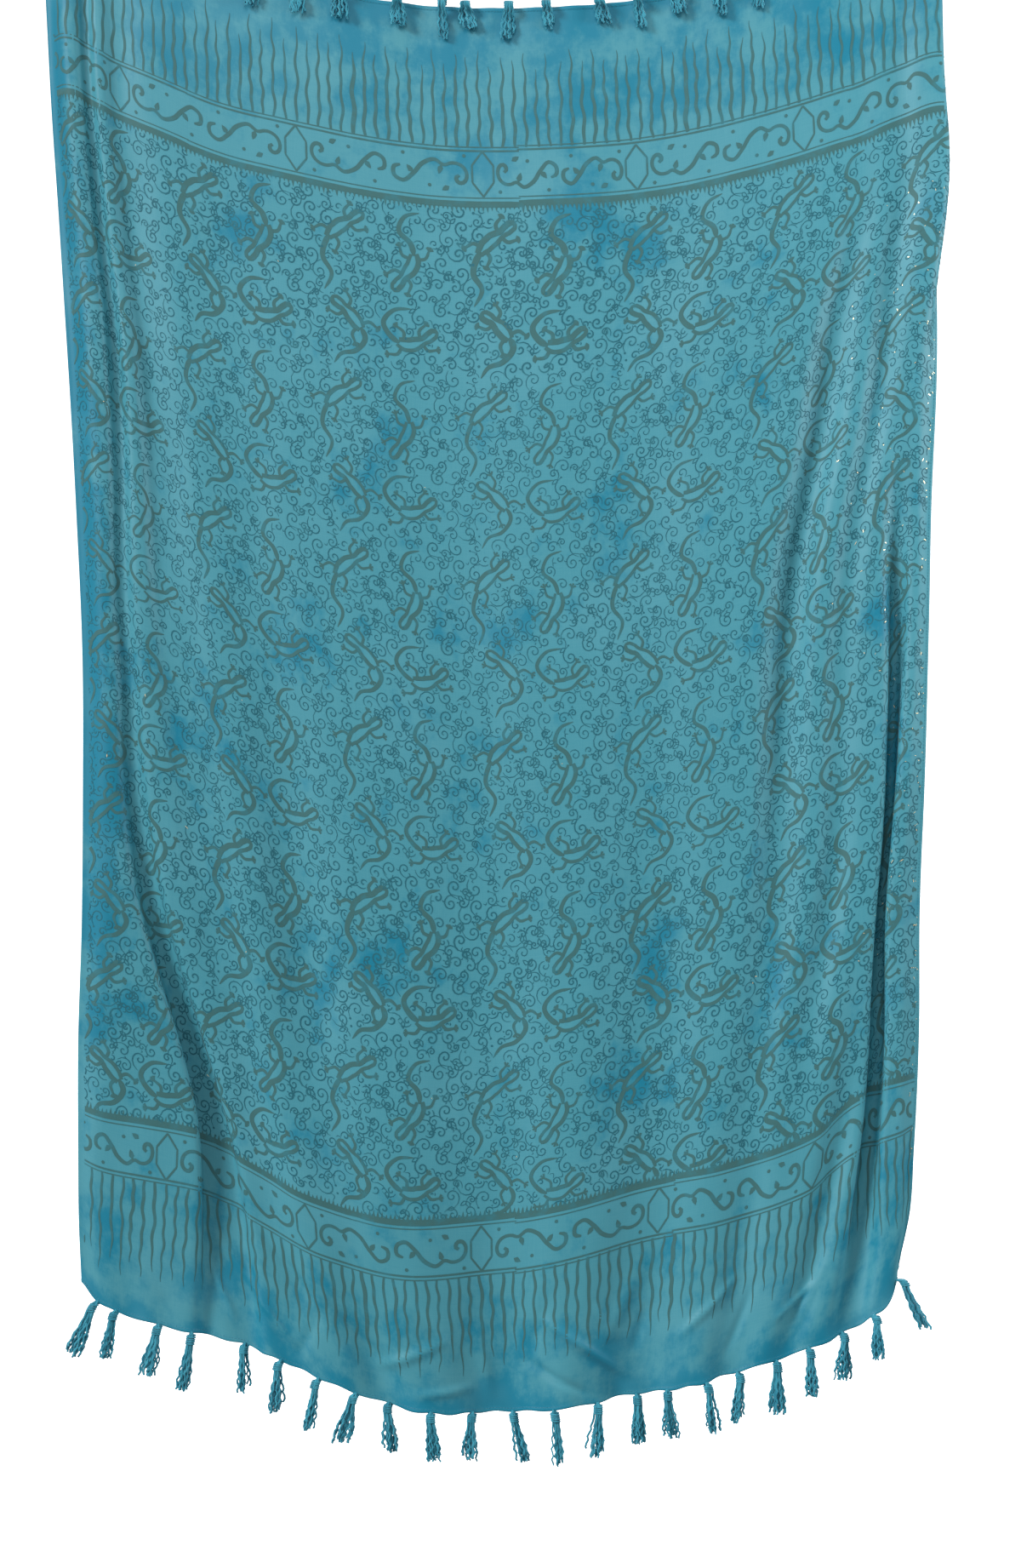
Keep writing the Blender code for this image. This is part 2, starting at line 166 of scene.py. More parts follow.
# Small creases, given one by one: from one place to another, how wide, and how far they stand out, or sink
# if below 0
Crease = namedtuple("Crease", "start end width_mm height_mm")
CREASES = [Crease(*row) for row in (
    ((.573, -.02), (.570, .175), 3.5, -1.1), ((.609, -.02), (.606, .165), 4.5, -0.9),
    ((.700, .030), (.735, .005), 3.0, 0.9), ((.520, -.02), (.512, .120), 6.0, 0.8),
    ((.590, .540), (.600, .900), 12.0, 0.7), ((.350, .700), (.380, 1.000), 12.0, 0.7),
    ((.180, 1.520), (.270, 1.600), 7.0, 2.4), ((.340, 1.560), (.300, 1.640), 6.0, -2.2),
    ((.540, 1.540), (.560, 1.640), 6.0, 2.2), ((.900, 1.540), (.870, 1.630), 6.0, -2.1),
    ((.240, 1.480), (.330, 1.560), 8.0, -2.6), ((.070, 1.560), (.120, 1.620), 6.0, 2.1),
    ((.440, 1.500), (.520, 1.590), 8.0, 2.4), ((.640, 1.500), (.600, 1.600), 8.0, -2.2),
    ((.760, 1.480), (.700, 1.590), 8.0, 2.4), ((1.000, 1.540), (.960, 1.630), 7.0, 2.2),
    ((1.020, .705), (1.085, .712), 4.0, 1.1), ((1.035, .728), (1.100, .724), 4.0, -0.9),
    ((.020, 1.172), (.105, 1.180), 4.5, 0.9), ((.385, .026), (.450, .030), 4.0, 0.8),
    ((.620, 1.535), (.745, 1.630), 5.0, 4.6), ((.600, 1.585), (.690, 1.640), 4.5, -3.6),
    ((.405, 1.612), (.505, 1.560), 5.0, 3.8), ((.800, 1.590), (.880, 1.530), 5.0, 3.8),
    ((.690, 1.530), (.715, 1.580), 4.5, 3.2), ((.745, 1.600), (.760, 1.540), 4.5, -3.0),
    ((.250, 1.585), (.300, 1.625), 4.5, 3.4), ((.455, 1.632), (.540, 1.618), 4.5, 3.0),
    ((.930, 1.600), (.985, 1.570), 4.5, 3.2), ((.340, 1.545), (.420, 1.600), 6.0, -3.4),
    ((.265, 1.530), (.470, 1.640), 17.0, -5.0), ((.180, 1.560), (.215, 1.625), 5.0, 3.0),
    ((.330, .600), (.420, .560), 8.0, 0.6), ((.520, .930), (.640, .905), 9.0, 0.6),
    ((.700, .380), (.790, .420), 9.0, 0.5), ((.250, 1.300), (.330, 1.345), 7.0, 0.9),
    ((.160, .420), (.215, .400), 6.0, 0.6), ((.960, 1.120), (1.020, 1.090), 5.0, 0.9),
    ((.905, 1.330), (.985, 1.360), 6.0, -0.8), ((.060, .860), (.120, .838), 5.0, 0.7),
)]

# Places where the colour is deepened: (across, down), reach in metres, and how strongly; mostly pools of dye
Blotch = namedtuple("Blotch", "at reach strength")
BLOTCHES = [Blotch(*row) for row in (
    # The first two, down the left edge, are painted shade where the edge turns away from the light
    ((.010, .45), (.032, .55), 1.10), ((.020, 1.05), (.040, .28), 0.90),
    ((.20, .14), (.06, .05), .50), ((.26, .30), (.05, .04), .60),
    ((.56, .18), (.05, .04), .55), ((.66, .22), (.07, .05), .65),
    ((.72, .30), (.05, .05), .70), ((.40, .58), (.05, .05), .55),
    ((.47, .50), (.04, .03), .45), ((.30, .78), (.07, .05), .60),
    ((.58, .72), (.08, .04), .55), ((.72, .62), (.05, .06), .60),
    ((.16, .95), (.07, .07), .60), ((.50, .86), (.06, .06), .50),
    ((.84, .42), (.05, .06), .45), ((.42, 1.14), (.05, .04), .60),
    ((.30, 1.17), (.06, .07), .60), ((.75, 1.13), (.05, .05), .70),
    ((.72, 1.28), (.06, .05), .65), ((.36, 1.36), (.05, .04), .50),
    ((.93, 1.20), (.05, .06), .60), ((.10, 1.30), (.06, .05), .55),
    ((1.08, .95), (.03, .20), .70), ((1.06, 1.40), (.04, .10), .45),
)]

# The layout of the print down the cloth, in metres
TOP_STRIPES_END = 0.169
TOP_BAND_END = 0.232
FIELD_ROWS = 6
FIELD_COLUMNS = 7
STAMP_WIDTH = 0.177
STAMP_HEIGHT = 0.198
LOW_BAND_START = 1.420
LOW_BAND_END = 1.482
BORDER_STAMP = 0.197
STRIPE_PITCH = 0.0135
TOP_DIAMONDS = (0.11, 0.33, 0.55, 0.73, 0.93)
LOW_DIAMONDS = (0.115, 0.33, 0.55, 0.77, 0.965)
FIELD_LEFT = -0.02
INNER_LINE = 7.5 * MM
DIAMOND_LINE = 2.4 * MM
SCROLL_CLEARANCE = 13 * MM
PAST_SELVEDGE = 0.07
SMALLEST_FACE = 1e-9
# How many gilt flecks are dabbed on as painted glints
FLECKS = 210
LOWER_FLATNESS = 0.75
UPPER_FLATNESS = 0.35
HEM_STITCHES = 0.0045
SELVEDGE_STITCHES = 0.003
ROW_POINTS = 420
# The lower border was stamped a little askew: how far its lines rise above the straight, at places across
SHIFT_PLACES = (0.0, .155, .34, .55, .78, .92, .965, 1.03, 1.09, 1.15)
SHIFTS = (-.011, .000, -.014, .000, .021, .021, .026, .048, .032, .015)

Tassel = namedtuple("Tassel", "across_mm sway_mm reach_mm")
LOWER_FRINGE = [Tassel(*row) for row in (
    (30, -30, 66), (57, -13, 56), (113, -14, 60), (155, -12, 68), (226, -2, 58),
    (277, -7, 61), (328, -14, 61), (379, -16, 58), (424, 2, 58), (480, 5, 57),
    (535, -2, 57), (587, 13, 59), (643, 5, 65), (700, -4, 63), (754, 1, 59),
    (795, 6, 56), (846, 7, 59), (890, -1, 60), (942, 3, 64), (987, 6, 57),
    (1035, 0, 56), (1083, 6, 52), (1137, 36, 58),
)]
UPPER_FRINGE = [Tassel(*row) for row in (
    (24, 2, 40), (75, 3, 42), (126, 4, 38), (178, 3, 44), (230, 5, 36),
    (281, 2, 40), (333, 4, 38), (386, 1, 34), (455, 2, 30), (508, 4, 40),
    (535, 6, 27), (586, -2, 38), (630, 5, 28), (692, 6, 25), (737, 7, 34),
    (783, 6, 26), (834, 2, 38), (882, -2, 42), (931, -3, 36), (980, -2, 40),
    (1029, -4, 38), (1072, -3, 42), (1096, -2, 36),
)]


# -------- the hanging cloth, as a surface to lay things on

def through(places, values, at):
    """A smooth curve through (places, values), read at `at`. The last axis of values runs over places."""
    places = np.asarray(places, float)
    values = np.asarray(values, float)
    at = np.clip(np.asarray(at, float), places[0], places[-1])
    slope = np.gradient(values, places, axis=-1)
    left = np.clip(np.searchsorted(places, at, side="right") - 1, 0, len(places) - 2)
    span = places[left + 1] - places[left]
    t = (at - places[left]) / span
    start = values[..., left] * (1 + 2 * t) * (1 - t) ** 2
    end = values[..., left + 1] * t * t * (3 - 2 * t)
    leaving = slope[..., left] * span * t * (1 - t) ** 2
    arriving = slope[..., left + 1] * span * t * t * (t - 1)
    return start + end + leaving + arriving


def sag_along(across, down):
    rows = np.array([row.at_stations for row in SAGS]).T
    return through(STATIONS, through([row.down for row in SAGS], rows, down), across)


def heading_along(across, down):
    """The heading of one crosswise thread in the horizontal plane, in radians: 0 along +X."""
    heading = np.zeros_like(across)
    for fold in FOLDS:
        centre = float(through(LEVELS, fold.across, down))
        angle = math.radians(float(through(LEVELS, fold.angles, down)))
        offset = (across - centre) / fold.half_width
        if fold.kind == "flank":
            heading += angle * np.exp(-offset**2)
        else:
            eased = np.clip((offset + 1) / 2, 0, 1)
            heading += angle * eased * eased * (3 - 2 * eased)
    return heading


def thread_at(down, across):
    """Points on the middle of the cloth along one crosswise thread, traced from selvedge to selvedge."""
    trace = np.arange(0.0, CLOTH_WIDTH + TRACE_STEP / 2, TRACE_STEP)
    sag = sag_along(trace, down)
    level_share = np.sqrt(np.maximum(1 - np.gradient(sag, TRACE_STEP) ** 2, 0))
    heading = heading_along(trace, down)
    step_x = level_share * np.cos(heading) * TRACE_STEP
    step_y = level_share * np.sin(heading) * TRACE_STEP
    run = np.concatenate([[0], np.cumsum((step_x[1:] + step_x[:-1]) / 2)])
    depth = np.concatenate([[0], np.cumsum((step_y[1:] + step_y[:-1]) / 2)])
    downs = [row.down for row in OUTLINE]
    left = float(through(downs, [row.left for row in OUTLINE], down))
    right = float(through(downs, [row.right for row in OUTLINE], down))
    x = left + run * (right - left) / run[-1]
    y = depth - depth[-1] * trace / CLOTH_WIDTH
    y += float(through(LEVELS, BELLY, down)) - y.mean()
    z = HELD_HEIGHT - down - sag
    return np.stack([np.interp(across, trace, line) for line in (x, y, z)], axis=-1)


def divided(spans):
    lines = [np.linspace(start, end, cells + 1)[:-1] for start, end, cells in spans]
    return np.concatenate(lines + [[spans[-1][1]]])


def unit(vectors):
    return vectors / np.maximum(np.linalg.norm(vectors, axis=-1, keepdims=True), 1e-12)


def towards_print(grid):
    """Unit normals of a grid of points, pointing out of the printed face."""
    return unit(np.cross(np.gradient(grid, axis=1), -np.gradient(grid, axis=0)))


def crease_height(across, down):
    """How far the small creases and the soft ripple of the cloth stand out of it, in metres."""
    height = RIPPLE_HEIGHT * np.sin(across * 61 + 4 * np.sin(down * 3.1)) * np.sin(down * 17 + 1.3)
    height += FINE_RIPPLE_HEIGHT * np.sin(across * 113 + down * 29)
    from_hem = np.minimum(down, CLOTH_LENGTH - down)
    pucker = PUCKER_HEIGHT * np.exp(-from_hem / PUCKER_REACH)
    height += pucker * np.sin(across * 118 + 3 * np.sin(across * 9) + from_hem * 30)
    for crease in CREASES:
        start, end = np.array(crease.start), np.array(crease.end)
        along = end - start
        length = np.linalg.norm(along)
        share = ((across - start[0]) * along[0] + (down - start[1]) * along[1]) / length**2
        away = ((across - start[0]) * along[1] - (down - start[1]) * along[0]) / length
        fade = np.sin(np.pi * np.clip(share, 0, 1)) ** 0.8
        height += crease.height_mm * MM * fade * np.exp(-((away / (crease.width_mm * MM)) ** 2))
    return height


class HangingCloth:
    """The cloth as a grid of points with a printed face and a back."""

    def __init__(self, thickness, hem_bead):
        self.across, self.down = divided(COLUMNS), divided(ROWS)
        middle = np.array([thread_at(down, self.across) for down in self.down])
        u, v = np.meshgrid(self.across, self.down)
        middle = middle + towards_print(middle) * crease_height(u, v)[..., None]
        waver = HEM_WAVER * np.exp((v - CLOTH_LENGTH) / HEM_WAVER_REACH)
        middle[..., 2] += waver * np.sin(u * 124 + 1.5 * np.sin(u * 23))
        self.normals = towards_print(middle)
        from_hem = np.minimum(v, CLOTH_LENGTH - v)
        from_edge = np.minimum(u, CLOTH_WIDTH - u)
        half = thickness / 2 + hem_bead / 2 * np.exp(-(((from_hem - HEM_MIDDLE) / HEM_ROLL) ** 4))
        half += thickness / 2 * np.exp(-((from_edge / SELVEDGE) ** 2))
        self.faces_at = {side: middle + side * self.normals * half[..., None] for _, side in SIDES}

    def at(self, across, down, side=1, lift=0.0):
        """Points on a face of the cloth (1 is the printed one, -1 the back), and unit normals there."""
        across = np.clip(across, 0, CLOTH_WIDTH)
        down = np.clip(down, 0, CLOTH_LENGTH)
        column = np.clip(np.searchsorted(self.across, across, "right") - 1, 0, len(self.across) - 2)
        row = np.clip(np.searchsorted(self.down, down, "right") - 1, 0, len(self.down) - 2)
        s = ((across - self.across[column]) / (self.across[column + 1] - self.across[column]))[..., None]
        t = ((down - self.down[row]) / (self.down[row + 1] - self.down[row]))[..., None]

        def read(grid):
            a, b = grid[row, column], grid[row + 1, column]
            c, d = grid[row + 1, column + 1], grid[row, column + 1]
            return np.where(s >= t, a + s * (d - a) + t * (c - d), a + t * (b - a) + s * (c - b))

        normal = unit(read(self.normals)) * side
        return read(self.faces_at[side]) + normal * lift, normal


# -------- meshes and materials

def linear(colour):
    """An sRGB hex colour as linear RGBA."""
    parts = [int(colour[i:i + 2], 16) / 255 for i in (1, 3, 5)]
    return tuple(c / 12.92 if c <= 0.04045 else ((c + 0.055) / 1.055) ** 2.4 for c in parts) + (1.0,)


def mesh_object(name, points, faces, material, uv=None, normals=None):
    """A smooth mesh object at the origin from arrays. uv gives each point its place on the cut cloth."""
    mesh = bpy.data.meshes.new(name)
    sides = faces.shape[1]
    mesh.vertices.add(len(points))
    mesh.vertices.foreach_set("co", np.asarray(points, np.float32).ravel())
    mesh.loops.add(faces.size)
    mesh.loops.foreach_set("vertex_index", faces.astype(np.int32).ravel())
    mesh.polygons.add(len(faces))
    mesh.polygons.foreach_set("loop_start", np.arange(0, faces.size, sides, dtype=np.int32))
    mesh.update(calc_edges=True)
    mesh.validate()
    mesh.materials.append(material)
    mesh.shade_smooth()
    if uv is not None:
        layer = mesh.uv_layers.new(name="cut")
        corner = np.empty(len(mesh.loops), np.int32)
        mesh.loops.foreach_get("vertex_index", corner)
        layer.data.foreach_set("uv", np.asarray(uv, np.float32)[corner].ravel())
    if normals is not None:
        mesh.normals_split_custom_set_from_vertices(np.asarray(normals, float).tolist())
    piece = bpy.data.objects.new(name, mesh)
    bpy.context.scene.collection.objects.link(piece)
    return piece


def add_node(tree, kind, inputs=(), out=0, **settings):
    """Adds a node and gives one of its outputs. Settings are its attributes. An input is a plain value, or
    the output that feeds it."""
    node = tree.nodes.new(kind)
    for name, value in settings.items():
        setattr(node, name, value)
    for name, value in dict(inputs).items():
        if isinstance(value, bpy.types.NodeSocket):
            tree.links.new(value, node.inputs[name])
        else:
            node.inputs[name].default_value = value
    return node.outputs[out]


def new_material(name, **shader_values):
    """A Principled material, and its tree and shader. The values are set on the shader's own sockets."""
    material = bpy.data.materials.new(name)
    material.use_nodes = True
    tree = material.node_tree
    shader = tree.nodes["Principled BSDF"]
    for socket, value in shader_values.items():
        shader.inputs[socket.replace("_", " ")].default_value = value
    return material, tree, shader


def mottling(tree, place, per_metre, detail=3.0, roughness=0.5, stretch=(1, 1, 1), at=(0, 0, 0)):
    """Unevenness with so many features to the metre, stretched along one thread or moved to one side."""
    moved = add_node(tree, "ShaderNodeMapping", {"Vector": place, "Scale": stretch, "Location": at})
    return add_node(tree, "ShaderNodeTexNoise",
                    {"Vector": moved, "Scale": per_metre, "Detail": detail, "Roughness": roughness})


def tinted(tree, colour, tints):
    """A colour over which tints are laid in turn. Each goes from nothing to its most, as its pattern goes
    from low to high."""
    for tint, pattern, low, high, most in tints:
        share = add_node(tree, RANGE, {"Value": pattern, "From Min": low, "From Max": high, "To Max": most},
                         interpolation_type="SMOOTHSTEP")
        colour = add_node(tree, "ShaderNodeMix", {0: share, 6: colour, 7: tint}, 2, data_type="RGBA")
    return colour


def rayon_material(ground, deep, pale):
    """Plain-woven rayon, dyed by hand: a soft satin sheen, cloudy turquoise with bluer pools, fine slubs.
    The threads are 0.35 mm apart, which is too fine to show, so the slubs are drawn 1.5 mm apart."""
    material, tree, shader = new_material(
        "rayon_hand_dyed", Roughness=0.53, Sheen_Weight=0.12, Sheen_Roughness=0.4, Specular_IOR_Level=0.45)
    cut = add_node(tree, "ShaderNodeUVMap", uv_map="cut")
    clouds = mottling(tree, cut, 13, 6.0, 0.64)
    streaks = mottling(tree, cut, 34, 5.0, 0.62, stretch=(1.0, 0.55, 1), at=(5, 2, 0))
    # The dye attribute holds pools of dye, and painted shade down the left edge and over the bottom end
    dye = add_node(tree, "ShaderNodeAttribute", out="Fac", attribute_name="dye")
    pooled = 0.0
    for pattern, share in ((clouds, 1.1), (streaks, 0.55), (dye, 0.34)):
        pooled = add_node(tree, MATH, {0: pattern, 1: share, 2: pooled}, operation="MULTIPLY_ADD")
    washed = mottling(tree, cut, 6, 3.0, at=(9, 4, 0))
    lengthwise = mottling(tree, cut, 650, 2.0, stretch=(1, 0.05, 1))
    crosswise = mottling(tree, cut, 650, 2.0, stretch=(0.05, 1, 1), at=(3, 7, 0))
    slubs = add_node(tree, MATH, {0: lengthwise, 1: crosswise}, operation="ADD")
    colour = tinted(tree, ground, ((deep, pooled, 0.88, 1.16, 1.0), (pale, washed, 0.50, 0.72, 0.30),
                                   (deep, slubs, 0.75, 1.25, 0.12)))
    tree.links.new(colour, shader.inputs["Base Color"])
    bump = add_node(tree, "ShaderNodeBump", {"Strength": 0.3, "Distance": 0.15 * MM, "Height": slubs})
    tree.links.new(bump, shader.inputs["Normal"])
    return material


def stamped_material(name, heavy, fine, faded):
    """Dye stamped with a copper block: heavy lines are grey-olive, fine ones sink in the blue, and both take
    unevenly."""
    material, tree, shader = new_material(name, Roughness=0.58, Sheen_Weight=0.10, Specular_IOR_Level=0.30)
    cut = add_node(tree, "ShaderNodeUVMap", uv_map="cut")
    weight = add_node(tree, "ShaderNodeAttribute", out="Fac", attribute_name="weight")
    uneven = mottling(tree, cut, 45, 4.0, 0.65)
    colour = tinted(tree, fine, ((heavy, weight, 0.0, 1.0, 1.0), (faded, uneven, 0.45, 0.70, 0.7)))
    tree.links.new(colour, shader.inputs["Base Color"])
    return material


def yarn_material(colour, painted_shade):
    """Loose-spun rayon yarn, dyed with the cloth: matte, with painted shade for its hollows, a darker colour
    that noise mixes in.
    """
    material, tree, shader = new_material(
        "rayon_yarn_spun", Roughness=0.72, Sheen_Weight=0.25, Specular_IOR_Level=0.25)
    place = add_node(tree, "ShaderNodeTexCoord", out="Object")
    tone = mottling(tree, place, 160, 3.0, stretch=(1, 1, 0.3))
    # Painted shade for the hollows, mixed into the yarn by noise
    tree.links.new(tinted(tree, painted_shade, ((colour, tone, 0.38, 0.62, 1.0),)), shader.inputs["Base Color"])
    twist = mottling(tree, place, 900, 2.0, at=(4, 1, 6))
    bump = add_node(tree, "ShaderNodeBump", {"Strength": 0.4, "Distance": 0.2 * MM, "Height": twist})
    tree.links.new(bump, shader.inputs["Normal"])
    return material


def thread_material(colour):
    """Sewing cotton, spun and dyed to match: thin, with a slight sheen."""
    material, tree, shader = new_material("cotton_thread_spun", Roughness=0.6, Sheen_Weight=0.2)
    tone = mottling(tree, add_node(tree, "ShaderNodeTexCoord", out="Object"), 300, 2.0)
    darker = ((linear("#2F7F93"), tone, -0.25, 1.25, 1.0),)
    tree.links.new(tinted(tree, colour, darker), shader.inputs["Base Color"])
    return material


def gilt_material(colour):
    """Powdered brass in a binder, dabbed on by hand: pale flecks with a whiter tint, as painted glints."""
    material, tree, shader = new_material("brass_powder_painted_glints", Roughness=0.35, Metallic=0.45)
    tone = mottling(tree, add_node(tree, "ShaderNodeTexCoord", out="Object"), 400, 2.0)
    # A tint towards white makes the flecks painted glints
    glint_tint = ((linear("#FFF3C8"), tone, -0.25, 1.25, 1.0),)
    tree.links.new(tinted(tree, colour, glint_tint), shader.inputs["Base Color"])
    return material


# -------- the drawing of the print, flat

STROKE_STEP = 2.7 * MM
DOT_SIDES = 6
GOLDEN_SHARE = 0.618034
Gecko = namedtuple("Gecko", "name spine_mm")
# Each gecko's spine, from its snout to the tip of its tail: right and down from the stamp's corner
GECKOS = (
    Gecko("climber", ((74, 20), (60, 31), (45, 42), (31, 59), (26, 80), (37, 98), (28, 120))),
    Gecko("hanger", ((110, 104), (121, 89), (133, 70), (130, 48), (116, 34), (123, 17), (142, 10))),
    Gecko("runner", ((38, 126), (53, 135), (68, 149), (79, 167), (68, 183), (50, 190), (42, 202))),
    Gecko("sleeper", ((164, 148), (149, 160), (130, 167), (111, 160), (100, 144), (112, 128), (134, 124))),
)
BODY_SHARES = (0.0, 0.03, 0.10, 0.15, 0.25, 0.35, 0.43, 0.60, 1.0)
BODY_HALVES_MM = (0.8, 4.4, 4.6, 3.0, 6.2, 6.0, 2.8, 1.4, 0.4)
BODY_END = 0.45
LEG_SHARES = (0.18, 0.38)
TAIL_WIDTHS = np.array([6.0, 5.4, 4.8, 3.8, 2.2]) * MM
LEG_WIDTHS = np.array([3.8, 3.2, 2.8]) * MM
TOE_WIDTHS = np.array([1.6, 2.8]) * MM
SCROLL_WIDTHS = np.array([5.2, 4.0, 3.8, 5.0, 4.4, 4.8]) * MM
CURL_RADII_MM = (8.0, 6.4, 5.0, 3.8)
CURL_DARTS = (260, 900, 1900, 1300)
CURL_GAP = 1.8 * MM
LINK_REACH = 24 * MM
GECKO_CLEARANCE = 1.2 * MM
LINE = 1.25 * MM


def smooth_path(points, step):
    """A smooth curve through points, divided into even steps."""
    points = np.asarray(points, float)
    lengths = np.concatenate([[0], np.cumsum(np.linalg.norm(np.diff(points, axis=0), axis=1))])
    if len(points) > 2:
        fine = np.linspace(0, lengths[-1], max(8, int(lengths[-1] / step) * 3))
        points = np.stack([through(lengths, axis, fine) for axis in points.T], axis=-1)
        lengths = np.concatenate([[0], np.cumsum(np.linalg.norm(np.diff(points, axis=0), axis=1))])
    even = np.linspace(0, lengths[-1], max(2, int(round(lengths[-1] / step)) + 1))
    return np.stack([np.interp(even, lengths, axis) for axis in points.T], axis=-1)


def square_to(path):
    """Unit vectors square to a flat path, on its left as it runs."""
    tangent = unit(np.gradient(path, axis=0))
    return np.stack([-tangent[:, 1], tangent[:, 0]], axis=-1)


class Drawing:
    """Strokes and small filled shapes in the flat. Each point is an anchor and an offset that the ink
    widens. Each stroke has its own level from 0 to 1, so that strokes that cross lie one over the other, and
    its own weight, which is 1 for a heavy line and 0 for a fine one."""

    def __init__(self):
        self.anchors, self.offsets, self.tags, self.faces, self.count = [], [], [], [], 0
        self.weight = 1.0

    def add(self, anchors, offsets, faces):
        level = len(self.faces) * GOLDEN_SHARE % 1
        self.tags.append(np.tile([level, self.weight], (len(anchors), 1)))
        self.anchors.append(anchors)
        self.offsets.append(offsets)
        self.faces.append(np.asarray(faces, int).reshape(-1, 3) + self.count)
        self.count += len(anchors)

    def stroke(self, points, width, step=STROKE_STEP, taper=0.35):
        """A line of this width, or of a width at each of a few even places, which thins at both ends. With
        no step it runs straight from point to point."""
        path = smooth_path(points, step) if step else np.asarray(points, float)
        n = len(path)
        share = np.linspace(0, 1, n)
        widths = np.interp(share, np.linspace(0, 1, np.size(width)), np.atleast_1d(width))
        widths = widths * (taper + (1 - taper) * np.clip(np.minimum(share, 1 - share) * n / 2.5, 0, 1))
        half = square_to(path) * widths[:, None] / 2
        here = np.arange(n - 1)
        one, other = np.stack([here, here + 1, here + 1 + n], 1), np.stack([here, here + 1 + n, here + n], 1)
        self.add(np.concatenate([path, path]), np.concatenate([half, -half]), np.concatenate([one, other]))

    def shape(self, outline):
        """A filled shape that is seen whole from its middle."""
        outline = np.asarray(outline, float)
        middle = outline.mean(0)
        n = len(outline)
        rim = np.arange(n)
        self.add(np.tile(middle, (n + 1, 1)), np.concatenate([[[0, 0]], outline - middle]),
                 np.stack([np.full(n, 0), 1 + rim, 1 + (rim + 1) % n], 1))

    def dot(self, centre, radius):
        angles = np.linspace(0, 2 * np.pi, DOT_SIDES, endpoint=False)
        self.shape(np.asarray(centre) + radius * np.stack([np.cos(angles), np.sin(angles)], -1))

    def leaf(self, root, direction, length, width):
        side = np.array([-direction[1], direction[0]]) * width / 2
        root, along = np.asarray(root), np.asarray(direction) * length
        outline = ((0, 0), (0.35, 1), (0.7, 0.7), (1, 0), (0.7, -0.7), (0.35, -1))
        self.shape([root + along * far + side * wide for far, wide in outline])

    def open_leaf(self, root, direction, length, width):
        """A leaf drawn as its two edges."""
        side = np.array([-direction[1], direction[0]]) * width / 2
        root, along = np.asarray(root), np.asarray(direction) * length
        for hand in (1, -1):
            edge = ((0, 0), (0.3, hand), (0.65, 0.75 * hand), (1, 0))
            self.stroke([root + along * far + side * wide for far, wide in edge], LINE, step=None, taper=0.7)

    def stamped(self, ink=1.0, level=0.0):
        """All of it as places with their levels and weights, (across, down, level, weight), and faces."""
        places = np.concatenate(self.anchors) + np.concatenate(self.offsets) * ink
        tags = np.concatenate(self.tags)
        tags[:, 0] = (tags[:, 0] + level) % 1
        return np.column_stack([places, tags]), np.concatenate(self.faces)


def gecko_spine(gecko):
    spine = smooth_path(np.array(gecko.spine_mm) * MM, 2.0 * MM)
    share = np.linspace(0, 1, len(spine))
    return spine, share, np.interp(share, BODY_SHARES, BODY_HALVES_MM) * MM


def draw_gecko(drawing, gecko):
    """Two flanks, a tail, four bent legs with toes. Gives its reach as (across, down, half width)."""
    spine, share, half = gecko_spine(gecko)
    side = square_to(spine)
    body = share < BODY_END
    for hand, width in ((1, 5.2), (-1, 3.8)):
        drawing.stroke((spine + hand * side * half[:, None])[body][::2], width * MM, taper=0.8)
    drawing.stroke(spine[share > BODY_END - 0.05][::2], TAIL_WIDTHS)
    drawing.stroke([spine[0] - side[0] * 1.4 * MM, spine[0] + side[0] * 1.4 * MM], 2.2 * MM, taper=1.0)
    reach = [np.column_stack([spine, half])]
    for place, lean in zip(LEG_SHARES, (1, -1)):
        at = int(place * len(spine))
        ahead = unit(spine[at - 2] - spine[at + 2]) * lean
        for hand in (1, -1):
            out = side[at] * hand
            hip = spine[at] + out * half[at]
            knee = hip + (out * 8.5 + ahead * 2.5) * MM
            foot = knee + (out * 3.5 + ahead * 9.5) * MM
            drawing.stroke([hip, knee, foot], LEG_WIDTHS, taper=0.8)
            forward = unit(foot - knee)
            cross = np.array([-forward[1], forward[0]])
            for spread in (-1.1, 0.0, 1.1):
                toe = unit(forward + spread * cross)
                drawing.stroke([foot, foot + toe * 5.2 * MM], TOE_WIDTHS, step=None, taper=1.0)
            leg = np.concatenate([np.linspace(hip, knee, 4), np.linspace(knee, foot + forward * 3 * MM, 5)])
            reach.append(np.column_stack([leg, np.full(len(leg), 1.4 * MM)]))
    return np.concatenate(reach)


def curl_places(rng, bodies):
    """Middles and radii for the curls, large ones first, on a stamp that repeats, clear of the geckos and of
    each other."""
    size = np.array([STAMP_WIDTH, STAMP_HEIGHT])
    places, radii = np.empty((0, 2)), np.empty(0)
    for radius, darts in zip(np.array(CURL_RADII_MM) * MM, CURL_DARTS):
        for dart in rng.random((darts, 2)) * size:
            gap = np.abs(places - dart)
            gap = np.hypot(*np.minimum(gap, size - gap).T) - radii
            to_body = np.abs(bodies[:, :2] - dart)
            to_body = np.hypot(*np.minimum(to_body, size - to_body).T) - bodies[:, 2]
            if (gap > radius + CURL_GAP).all() and to_body.min() > GECKO_CLEARANCE + 0.6 * radius:
                places, radii = np.vstack([places, dart]), np.append(radii, radius)
    return places, radii


def curl_path(centre, radius, turns, start, hand, points=18):
    """A curl that swoops in from outside its circle and winds to its middle."""
    t = np.linspace(0, 1, points)
    r = radius * (1 - t) ** 0.85 + 0.8 * radius * np.exp(-9 * t) + 0.7 * MM
    angle = start + hand * 2 * np.pi * turns * t
    return np.asarray(centre) + r[:, None] * np.stack([np.cos(angle), np.sin(angle)], -1)


